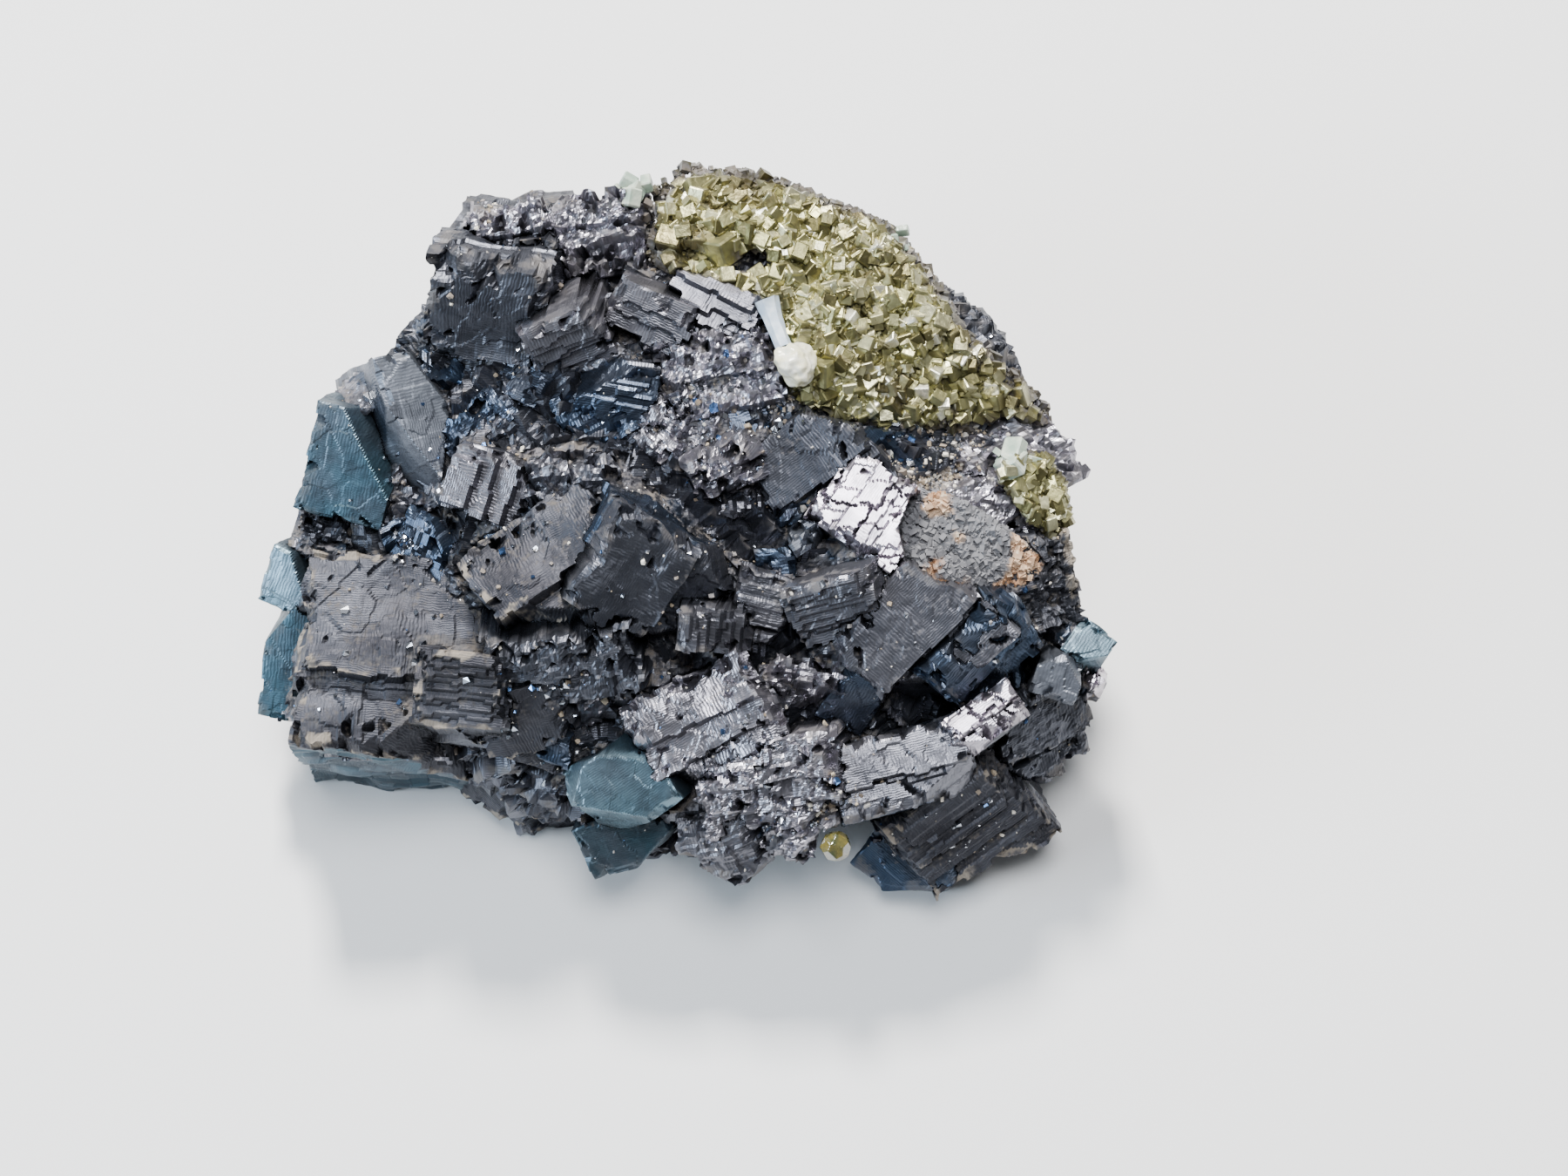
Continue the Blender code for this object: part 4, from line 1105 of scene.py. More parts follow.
    def sheet_drop(self, flat: Array, fine: Array, coarse: Array) -> Array:
        """How far the sheet lies lower over the faces of the blocks with clear habits, and in the crevices.

        Args:
            flat: places in the view, one row each.
            fine: the small grains' height there, which frays the crevices' edges.
            coarse: the large grains' height there, which frays the blocks' edges.

        Returns:
            The drop at each place, in mm.
        """
        drop = np.zeros(len(flat))
        for block in (block for blocks in REGIONS.values() for block in blocks):
            if block.habit in CLEAR_HABITS:
                sine, cosine = math.sin(math.radians(block.pose[0])), math.cos(math.radians(block.pose[0]))
                own = (flat - np.array(block.place[:2])) @ np.array([[cosine, -sine], [sine, cosine]])
                part = np.abs(own / (np.array(block.size[:2]) / 2)).max(axis=1) + 0.1 * coarse
                drop += self.bare_drop * (1.0 - smooth_step(0.78, 1.0, part))
        for start, end, reach in CREVICES:
            along = np.array(end) - np.array(start)
            way = flat - np.array(start)
            part = np.clip(way @ along / (along @ along), 0.0, 1.0)
            gap = np.linalg.norm(way - part[:, None] * along, axis=1) + 0.35 * fine
            drop += self.crevice_drop * (1.0 - smooth_step(0.7 * reach, 1.3 * reach, gap))
        return drop

    def infill(self, meshes: list[Mesh]) -> Object:
        """Granular galena between the blocks: a sheet of broken grains just under the blurred top surface.

        Its height is the blurred surface, plus grains of three sizes, less the drop. A second layer under it
        and walls round its edge close it.

        Args:
            meshes: the blocks' meshes.

        Returns:
            The sheet.
        """
        level, kept = self.sheet_level(meshes)
        across, up = (
            corner + self.sheet_cell * (place + 0.5)
            for corner, place in zip(self.sheet_corner, np.indices(self.sheet_count))
        )
        flat = np.stack([across.ravel(), up.ravel()], axis=-1)
        for bed in (PYRITE_BED, SIDE_BED, LIMONITE_BED):
            kept &= bed.share(flat[:, 0], flat[:, 1]).reshape(across.shape) > 0.97
        first, share = Noise.facets(flat, 0.8, 501)
        second, other = Noise.facets(flat, 2.1, 502)
        relief = 0.36 * first + 0.42 * second + 0.2 * Noise.facets(flat, 0.42, 503)[0] - 0.38
        near = level + (relief - self.sheet_drop(flat, first, second)).reshape(across.shape)
        number = np.full(self.sheet_count, -1)
        half = int(kept.sum())
        number[kept] = np.arange(half)
        square = Lattice.grid(number)
        square = square[(square >= 0).all(axis=1)]
        ends = np.concatenate([square[:, [side, (side + 1) % 4]] for side in range(4)])
        key = ends[:, 0] * (2 * half) + ends[:, 1]
        rim = ends[~np.isin(key, ends[:, 1] * (2 * half) + ends[:, 0])]
        walls = np.stack([rim[:, 1], rim[:, 0], rim[:, 0] + half, rim[:, 1] + half], axis=-1)
        faces = np.concatenate([square, square[:, ::-1] + half, walls])
        layers = (near[kept], near[kept] - self.sheet_thick)
        points = np.concatenate([VIEW.seen(across[kept], up[kept], layer) for layer in layers])
        points[:, 2] = np.maximum(points[:, 2], 0.05)
        tones = (Finish.BLACK, Finish.LEAD, Finish.DUSTY, Finish.BLUE, Finish.SILVER)
        pick = np.digitize(0.65 * share[kept.ravel()] + 0.35 * other[kept.ravel()], [0.2, 0.52, 0.66, 0.73])
        colours = np.array([tone.value.colour for tone in tones])[pick]
        values = np.array([[tone.value.roughness, 0.55, tone.value.lines] for tone in tones])[pick]
        patch = Patch(points, faces, np.tile(colours, (2, 1)), np.tile(values, (2, 1)), points)
        return Stock.place(Stock.patch_mesh("galena_groundmass", patch))

    @staticmethod
    def points(mesh: Mesh) -> Array:
        """A mesh's points in millimetres."""
        values = np.zeros(len(mesh.vertices) * 3, dtype=np.float32)
        mesh.vertices.foreach_get("co", values)
        return values.astype(np.float64).reshape(-1, 3) / MM

    def sink(self, mesh: Mesh) -> None:
        """Lowers the points that would stand in a crust: in its outline none is nearer than under its bed."""
        points = self.points(mesh)
        view = VIEW.place(points)
        for bed, gap in ((PYRITE_BED, 0.2), (SIDE_BED, 0.2), (LIMONITE_BED, 0.1)):
            share = bed.share(view[:, 0], view[:, 1])
            most = bed.near(view[:, 0], view[:, 1]) - gap + 14.0 * smooth_step(0.98, 1.05, share)
            view[:, 2] = np.where(share < 1.05, np.minimum(view[:, 2], most), view[:, 2])
        lowered = VIEW.seen(view[:, 0], view[:, 1], view[:, 2])
        lowered[:, 2] = np.maximum(lowered[:, 2], 0.0)
        mesh.vertices.foreach_set("co", (lowered * MM).astype(np.float32).ravel())
        mesh.update()

    def shelter(self, meshes: list[Mesh]) -> None:
        """Writes, for each point, its depth under the blurred top surface, and how far its face looks up.

        The surface is blurred by averaging shifted copies, over a small and a wide square.

        Args:
            meshes: all of the galena's meshes.
        """
        views = [VIEW.place(self.points(mesh)) for mesh in meshes]
        every = np.concatenate(views)
        low = every[:, :2].min(axis=0)
        count = np.ceil((every[:, :2].max(axis=0) - low) / self.hollow_cell).astype(int) + 2
        top = self.top_surface(every, low, self.hollow_cell, count, -14.0)
        blurs = []
        for reach in (2, 6):
            total = np.zeros(count)
            for shift_x in range(-reach, reach + 1):
                for shift_y in range(-reach, reach + 1):
                    total += np.roll(top, (shift_x, shift_y), axis=(0, 1))
            blurs.append(total / (2 * reach + 1) ** 2)
        for mesh, view in zip(meshes, views):
            cell = ((view[:, :2] - low) / self.hollow_cell).astype(int)
            close, wide = (blur[cell[:, 0], cell[:, 1]] - view[:, 2] for blur in blurs)
            normals = np.zeros(len(mesh.vertices) * 3, dtype=np.float32)
            mesh.vertex_normals.foreach_get("vector", normals)
            columns = [np.clip(close, -1.0, 1.0), np.clip(wide, -1.0, 2.0), normals.reshape(-1, 3)[:, 2]]
            # Column one, the depth under the blurred top, sets the galena's dust and its painted shade in hollows
            Stock.write(mesh, "lie", np.stack(columns, axis=-1))


class Shapes:
    """Small closed shapes as arrays: points about the middle, and faces."""

    @staticmethod
    def cube(bevel: float) -> tuple[Array, Array]:
        """A cube of side 1 with each edge bevelled: three points at each corner, all faces as triangles.

        Args:
            bevel: how far each edge is cut back, as a share of the side.

        Returns:
            24 points and 44 triangles.
        """
        signs = np.array(list(np.ndindex(2, 2, 2))) * 2 - 1
        reach = 0.5 - bevel
        points = np.concatenate([signs * np.where(np.arange(3) == axis, 0.5, reach) for axis in range(3)])
        return points, Shapes.hull(points)

    @staticmethod
    def plain() -> tuple[Array, Array]:
        """A plain cube of side 1 as 8 points and 12 triangles."""
        points = np.array(list(np.ndindex(2, 2, 2))) - 0.5
        return points, Shapes.hull(points)

    @staticmethod
    def hull(points: Array) -> Array:
        """The outward triangles of the points' convex hull."""
        mesh = bmesh.new()
        for point in points:
            mesh.verts.new(point)
        bmesh.ops.convex_hull(mesh, input=mesh.verts)
        mesh.verts.ensure_lookup_table()
        mesh.verts.index_update()
        bmesh.ops.triangulate(mesh, faces=mesh.faces[:])
        faces = np.array([[vert.index for vert in face.verts] for face in mesh.faces])
        mesh.free()
        a, b, c = (points[faces[:, corner]] for corner in range(3))
        inward = (np.cross(b - a, c - a) * (a + b + c)).sum(axis=1) < 0
        faces[inward] = faces[inward][:, ::-1]
        return faces

    @staticmethod
    def turns(dice: np.random.Generator, count: int) -> Array:
        """Random turns, one matrix each, from random four-part unit rows."""
        w, x, y, z = dice.normal(size=(4, count))
        size = np.sqrt(w * w + x * x + y * y + z * z)
        w, x, y, z = w / size, x / size, y / size, z / size
        rows = (
            (1 - 2 * (y * y + z * z), 2 * (x * y - z * w), 2 * (x * z + y * w)),
            (2 * (x * y + z * w), 1 - 2 * (x * x + z * z), 2 * (y * z - x * w)),
            (2 * (x * z - y * w), 2 * (y * z + x * w), 1 - 2 * (x * x + y * y)),
        )
        return np.moveaxis(np.array(rows), 2, 0)

    @staticmethod
    def scatter(
        shape: tuple[Array, Array], centres: Array, turns: Array, sizes: Array
    ) -> tuple[Array, Array]:
        """One copy of a shape at each centre.

        Args:
            shape: its points and faces.
            centres: one row for each copy, in mm.
            turns: one matrix for each copy.
            sizes: one row of three sizes for each copy, in mm.

        Returns:
            All points and faces.
        """
        points, faces = shape
        placed = np.einsum("nij,nkj->nki", turns, points[None] * sizes[:, None]) + centres[:, None]
        numbers = faces[None] + (np.arange(len(centres)) * len(points))[:, None, None]
        return placed.reshape(-1, 3), numbers.reshape(-1, faces.shape[1])


@dataclass
class CrustPiece:
    """A crust on its bed: a rough ground, covered by crystals of many sizes, with a cavity in it or none.

    The large crystals are given by place and size, the cavity by its place and half its width and height.
    Uneven scales the ground's hummocks, ragged its outline's waves, and spread the small crystals' reach.
    """

    name: str
    bed: Bed
    thickness: float
    small_count: int
    small_size: Pair
    large: tuple
    squash: float
    seed: int
    bevel_from: float = 0.75
    cavity: tuple[float, float, float, float] | None = None
    uneven: float = 1.0
    ragged: float = 0.05
    spread: float = 0.99
    cavity_depth: float = 2.6
    skirt: float = 2.2
    rings: tuple[int, int] = (60, 12)
    spokes: int = 260

    def dip(self, across: Array, up: Array) -> Array:
        """How deep the ground dips into the cavity: an oval pit, cavity_depth deep, with a smooth edge."""
        if self.cavity is None:
            return np.zeros(across.shape)
        a, u, wide, high = self.cavity
        away = np.hypot((across - a) / wide, (up - u) / high)
        return self.cavity_depth * (1.0 - smooth_step(0.7, 1.15, away))

    def hummocks(self, flat: Array) -> Array:
        """The crust's uneven lid: tilted flat grains of two sizes."""
        small, _ = Noise.facets(flat, 1.1, self.seed)
        large, _ = Noise.facets(flat, 3.1, self.seed + 9)
        return self.uneven * (0.5 * small + 0.55 * large)

    def ground(self) -> tuple[Array, Array]:
        """A closed pillow over the outline: rings from the heart to the rim on top, and back underneath."""
        spokes = self.spokes
        above, below = self.rings
        share = np.concatenate([np.linspace(0.02, 1.0, above), np.linspace(0.98, 0.02, below)])
        top = np.arange(len(share)) < above
        bearing = np.linspace(0.0, math.tau, spokes, endpoint=False)
        waves = sum(Noise.smooth(bearing[:, None] * pitch, 1.0, self.seed) for pitch in (3.0, 8.0, 25.0))
        reach = self.bed.reach(bearing) * (1.0 + self.ragged * (waves - self.ragged * 8.0))
        across, up = self.bed.spot(bearing, share[:, None] * reach[None])
        flat = np.stack([across.ravel(), up.ravel()], axis=-1)
        rough = self.hummocks(flat) + Noise.facets(flat, 0.45, self.seed + 3)[0] * 0.2
        rough = rough.reshape(across.shape)
        lid = (self.thickness + rough) * (1.0 - share[:, None] ** 8) - self.dip(across, up)
        near = self.bed.near(across, up)
        near = near + np.where(top[:, None], lid, -self.skirt * (1.0 - share[:, None] ** 40))
        points = VIEW.seen(across.ravel(), up.ravel(), near.ravel())
        number = np.arange(len(share) * spokes).reshape(len(share), spokes)
        after = np.roll(number, -1, axis=1)
        faces = np.stack([number[:-1], number[1:], after[1:], after[:-1]], axis=-1).reshape(-1, 4)
        faces = np.concatenate([faces[:, [0, 1, 2]], faces[:, [0, 2, 3]]])
        poles = np.array([points[number[0]].mean(axis=0), points[number[-1]].mean(axis=0)])
        tip = len(points)
        caps = np.concatenate([
            np.stack([np.full(spokes, tip), number[0], after[0]], axis=-1),
            np.stack([np.full(spokes, tip + 1), after[-1], number[-1]], axis=-1),
        ])
        return np.concatenate([points, poles]), np.concatenate([faces, caps])

    def crystals(self) -> tuple[Array, Array, Array]:
        """Bevelled cubes on the ground: the large ones by their places, and the small ones by chance.

        Returns:
            Points, faces, and a share from 0 to 1 for each point that tells its crystal from the others.
        """
        dice = np.random.default_rng(self.seed)
        bearing = dice.uniform(0.0, math.tau, self.small_count)
        share = np.sqrt(dice.uniform(0.0, 1.0, self.small_count)) * self.spread
        across, up = self.bed.spot(bearing, self.bed.reach(bearing) * share)
        low, high = self.small_size
        size = low + (high - low) * dice.uniform(size=self.small_count) ** 2.2
        size *= 1.0 - 0.3 * smooth_step(0.85, 1.0, share)
        if self.large:
            places = np.array(self.large)
            across = np.concatenate([across, places[:, 0]])
            up = np.concatenate([up, places[:, 1]])
            size = np.concatenate([size, places[:, 2] * 0.72])
        count = len(size)
        rough = self.hummocks(np.stack([across, up], axis=-1))
        whole = self.bed.share(across, up)
        lift = (self.thickness + rough) * (1.0 - np.clip(whole, 0.0, 1.0) ** 8)
        lift += size * dice.uniform(-0.2, 0.25, count) - 0.25 * (size > 1.0) * size - self.dip(across, up)
        lift -= dice.uniform(0.0, self.skirt, count) * (whole > 0.96)
        centres = VIEW.seen(across, up, self.bed.near(across, up) + lift)
        sizes = size[:, None] * dice.uniform(0.75, 1.1, (count, 3))
        sizes[:, 2] *= self.squash
        turns = Shapes.turns(dice, count)
        pick = dice.uniform(size=count)
        big = size > self.bevel_from
        points, faces = Shapes.scatter(Shapes.cube(0.07), centres[big], turns[big], sizes[big])
        others, other_faces = Shapes.scatter(Shapes.plain(), centres[~big], turns[~big], sizes[~big])
        faces = np.concatenate([faces, other_faces + len(points)])
        picks = np.concatenate([np.repeat(pick[big], 24), np.repeat(pick[~big], 8)])
        return np.concatenate([points, others]), faces, picks

    def build(self) -> Object:
        """Ground and crystals in one mesh, with each crystal's share as an attribute."""
        ground, ground_faces = self.ground()
        points, faces, pick = self.crystals()
        mesh = Stock.mesh(self.name + "_skin", np.concatenate([ground, points]),
                          np.concatenate([ground_faces, faces + len(ground)]))
        Stock.write(mesh, "pick", np.concatenate([np.full(len(ground), 0.1), pick]))
        view = VIEW.place(GalenaMass.points(mesh))
        height = view[:, 2] - self.bed.near(view[:, 0], view[:, 1]) - self.thickness
        ways = 0.6 * self.hummocks(view[:, :2])
        # How low each point lies: the pyrite's dust and painted shade, and the limonite's grey rim, follow it
        Stock.write(mesh, "sunk", np.clip(0.35 - (height - ways) * 1.3, 0.0, 1.0))
        return Stock.place(mesh)


@dataclass
class QuartzRod:
    """A six-sided quartz rod with a milky knob on its lower end."""

    ends: tuple = ((4.5, 13.6, 0.4), (5.5, 10.9, 0.5))
    radius: float = 0.6
    knob: Triple = (6.2, 10.0, 0.7)
    knob_radii: Triple = (1.1, 1.25, 0.9)

    def build(self) -> Object:
        """Rod: six flat sides, wider towards the end away from the knob, and uneven. Knob: a ball made uneven by
        smooth noise.
        """
        first, last = (VIEW.seen(*end) for end in self.ends)
        axis = (last - first) / np.linalg.norm(last - first)
        side = np.cross(axis, [0.0, 0.0, 1.0])
        side /= np.linalg.norm(side)
        frame = np.stack([side, np.cross(axis, side), axis], axis=-1)
        places, faces = Lattice.skin((24, 24, 30))
        box = places / np.array([12.0, 12.0, 15.0]) - 1.0
        bearing = np.arctan2(box[:, 1], box[:, 0])
        hexagon = math.cos(math.pi / 6) / np.cos((bearing % (math.pi / 3)) - math.pi / 6)
        spread = np.abs(box[:, :2]).max(axis=1) * self.radius * hexagon
        spread = spread * (0.8 + 0.4 * np.clip(-box[:, 2], 0.0, 1.0) ** 2)
        length = np.linalg.norm(last - first) / 2
        own = np.stack([np.cos(bearing) * spread, np.sin(bearing) * spread, box[:, 2] * length], axis=-1)
        own += 0.09 * np.stack([Noise.smooth(own, 0.8, seed) for seed in (71, 72, 73)], axis=-1)
        rod = (first + last) / 2 + own @ frame.T
        ball_places, ball_faces = Lattice.skin((24, 24, 24))
        way = ball_places / 12.0 - 1.0
        way = way / np.linalg.norm(way, axis=1, keepdims=True)
        reach = 1.0 + 0.24 * Noise.smooth(way, 0.6, 81) + 0.08 * Noise.smooth(way, 0.22, 82)
        ball = way * np.array(self.knob_radii) * reach[:, None] @ VIEW.turn(24.0, 60.0, 18.0).T
        ball += VIEW.seen(*self.knob)
        faces = np.concatenate([faces, ball_faces + len(rod)])
        mesh = Stock.mesh("quartz_rod_skin", np.concatenate([rod, ball]), faces)
        Stock.write(mesh, "pick", np.concatenate([np.zeros(len(rod)), np.ones(len(ball))]))
        return Stock.place(mesh)


@dataclass
class SphaleriteCrystal:
    """A small glassy crystal of flat facets."""

    place: Triple = (8.4, -17.2, -1.2)
    radius: float = 0.95
    facets: int = 22

    def build(self) -> Object:
        """Each point lies at the nearest of the facet planes along its own direction from the middle."""
        places, faces = Lattice.skin((30, 30, 30))
        way = places / 15.0 - 1.0
        way = way / np.linalg.norm(way, axis=1, keepdims=True)
        number = np.arange(self.facets)
        height = 1.0 - 2.0 * (number + 0.5) / self.facets
        bearing = number * SUNFLOWER_TURN
        flat = np.sqrt(1.0 - height**2)
        normals = np.stack([flat * np.cos(bearing), flat * np.sin(bearing), height], axis=-1)
        distance = 0.84 + 0.12 * np.sin(number * 2.4)
        reach = (distance / np.maximum(way @ normals.T, 0.05)).min(axis=1)
        points = VIEW.seen(*self.place) + way * (reach * self.radius)[:, None]
        return Stock.place(Stock.mesh("sphalerite_skin", points, faces))


@dataclass
class PaleCrystals:
    """A few pale green-white crystals at the crust's edge: bevelled blocks in small groups.

    A group is its place and its largest crystal's size.
    """

    groups: tuple = (
        (-3.1, 19.3, -2.5, 1.5), (-10.9, 15.4, -1.7, 1.1), (18.4, 4.3, -1.1, 1.9), (11.6, 16.9, -2.4, 1.1),
    )
    in_group: int = 9
    seed: int = 61

    def build(self) -> Object:
        """Each group: its first crystal in the middle, the others smaller and beside it."""
        dice = np.random.default_rng(self.seed)
        places = np.repeat(np.array(self.groups), self.in_group, axis=0)
        rank = np.tile(np.arange(self.in_group), len(self.groups))
        size = places[:, 3] * (0.8 - 0.07 * rank)
        beside = dice.uniform(-0.6, 0.6, (len(places), 2)) * (rank > 0)[:, None] * places[:, 3:]
        moved = places[:, :2] + beside
        centres = VIEW.seen(moved[:, 0], moved[:, 1], places[:, 2] - 0.15 * rank)
        sizes = size[:, None] * dice.uniform(0.55, 1.0, (len(places), 3))
        points, faces = Shapes.scatter(Shapes.cube(0.09), centres, Shapes.turns(dice, len(places)), sizes)
        return Stock.place(Stock.mesh("pale_crystals", points, faces))


@dataclass
class Crumbs:
    """Loose crumbs on the galena: small uneven boxes on the dusty faces that look up, thickest in hollows.

    A cluster is a place in the view, its reach, and how many times more crumbs lie in its middle.
    """

    name: str
    count: int
    size: Pair
    least_dust: float
    seed: int
    clusters: tuple
    lift: float = 0.2

    def build(self, meshes: list[Mesh]) -> Object:
        """Strews the crumbs over the triangles by area, dustiness, slope and shelter.

        Args:
            meshes: the galena's meshes.

        Returns:
            The crumbs as one object.
        """
        dice = np.random.default_rng(self.seed)
        spots, ways, weights = [], [], []
        for mesh in meshes:
            mesh.calc_loop_triangles()
            corners = np.zeros(len(mesh.loop_triangles) * 3, dtype=np.int32)
            mesh.loop_triangles.foreach_get("vertices", corners)
            corners = corners.reshape(-1, 3)
            points = GalenaMass.points(mesh)
            lie = Stock.read(mesh, "lie", 3)[corners].mean(axis=1)
            finish = Stock.read(mesh, "finish", 3)[corners].mean(axis=1)
            a, b, c = (points[corners[:, corner]] for corner in range(3))
            normal = np.cross(b - a, c - a)
            area = np.linalg.norm(normal, axis=1)
            normal /= np.maximum(area, 1e-12)[:, None]
            clump = 0.5 + 0.5 * Noise.smooth((a + b + c) / 3, 1.6, self.seed)
            weight = area * smooth_step(0.35, 0.8, normal[:, 2]) * clump**2
            weight *= 0.25 + np.clip(lie[:, 0], 0.0, 0.6)
            weight *= np.clip(finish[:, 1] - self.least_dust, 0.0, 1.0)
            weight *= lie[:, 1] < 1.2
            view = VIEW.place(a)
            for across, up, reach, more in self.clusters:
                away = (view[:, 0] - across) ** 2 + (view[:, 1] - up) ** 2
                weight *= 1.0 + more * np.exp(-away / reach**2)
            spots.append((a + b + c) / 3)
            ways.append(normal)
            weights.append(weight)
        weight = np.concatenate(weights)
        chosen = dice.choice(len(weight), self.count, p=weight / weight.sum())
        centre = np.concatenate(spots)[chosen] + dice.uniform(-0.08, 0.08, (self.count, 3))
        normal = np.concatenate(ways)[chosen]
        low, high = self.size
        size = low + (high - low) * dice.uniform(size=self.count) ** 3
        sizes = size[:, None] * dice.uniform(0.5, 1.2, (self.count, 3))
        centre += normal * (size * self.lift)[:, None]
        base = np.array(list(np.ndindex(2, 2, 2))) - 0.5
        base = base * (1.0 + 0.35 * np.sin(np.arange(24).reshape(8, 3) * 1.7))
        turns = Shapes.turns(dice, self.count)
        points, faces = Shapes.scatter((base, Shapes.hull(base)), centre, turns, sizes)
        mesh = Stock.mesh(self.name, points, faces)
        Stock.write(mesh, "pick", np.repeat(dice.uniform(size=self.count), 8))
        return Stock.place(mesh)


class Nodes:
    """Adds nodes to a shader tree and links them, one short call each."""

    def __init__(self, tree: NodeTree) -> None:
        """Keeps the tree."""
        self.tree = tree

    def add(self, kind: str, inputs: dict | None = None, **settings: object) -> Node:
        """One node.

        Args:
            kind: the node's type without the ShaderNode in front.
            inputs: a value, or the socket to link from, for each named or numbered input.
            settings: the node's own settings.

        Returns:
            The node.
        """
        node = self.tree.nodes.new(kind if kind.startswith("Node") else "ShaderNode" + kind)
        for name, value in settings.items():
            setattr(node, name, value)
        self.fill(node, inputs or {})
        return node

    def fill(self, node: Node, inputs: dict) -> None:
        """Gives each named or numbered input its plain value, or links it to the socket given."""
        for name, value in inputs.items():
            if isinstance(value, NodeSocket):
                self.tree.links.new(value, node.inputs[name])
            else:
                node.inputs[name].default_value = value

    def math(
        self, operation: str, first: object, second: object, third: object = 0.0
    ) -> NodeSocket:
        """The result of a sum on two or three numbers."""
        return self.add("Math", {0: first, 1: second, 2: third}, operation=operation).outputs[0]

    def times(self, first: object, second: object) -> NodeSocket:
        """The product of two numbers."""
        return self.math("MULTIPLY", first, second)

    def mix(self, share: object, first: object, second: object) -> NodeSocket:
        """A mix of two colours, each a socket or three plain numbers."""
        first, second = ((*value, 1.0) if isinstance(value, tuple) else value for value in (first, second))
        return self.add("Mix", {0: share, 6: first, 7: second}, data_type="RGBA").outputs[2]

    def blend(self, share: object, first: object, second: object) -> NodeSocket:
        """A mix of two numbers."""
        return self.add("Mix", {0: share, 2: first, 3: second}, data_type="FLOAT").outputs[0]

    def noise(self, where: object, scale: float, detail: float = 3.0) -> NodeSocket:
        """Noise from 0 to 1."""
        return self.add("TexNoise", {"Vector": where, "Scale": scale, "Detail": detail}).outputs["Fac"]

    def band(self, value: object, low: float, high: float) -> NodeSocket:
        """0 below low, 1 above high, smooth between."""
        inputs = {"Value": value, "From Min": low, "From Max": high}
        return self.add("MapRange", inputs, interpolation_type="SMOOTHSTEP").outputs[0]

    def attribute(self, name: str, output: str = "Fac") -> NodeSocket:
        """A point attribute of the mesh."""
        return self.add("Attribute", attribute_name=name).outputs[output]

    def parts(self, name: str) -> list[NodeSocket]:
        """The three numbers of a point attribute."""
        return list(self.add("SeparateXYZ", {0: self.attribute(name, "Vector")}).outputs)

    def where(self) -> NodeSocket:
        """The place on the stone, in its own frame."""
        return self.add("TexCoord").outputs["Object"]

    def bump(self, height: object, strength: float, distance: float) -> NodeSocket:
        """The normal of a surface with that height."""
        inputs = {"Height": height, "Strength": strength, "Distance": distance}
        return self.add("Bump", inputs).outputs["Normal"]

    def waves(self, where: object, scale: float, detail: float, direction: str) -> NodeSocket:
        """Distorted stripes across one direction."""
        inputs = {"Vector": where, "Scale": scale, "Distortion": 5.0, "Detail": 3.0, "Detail Scale": detail}
        return self.add("TexWave", inputs, bands_direction=direction).outputs["Fac"]


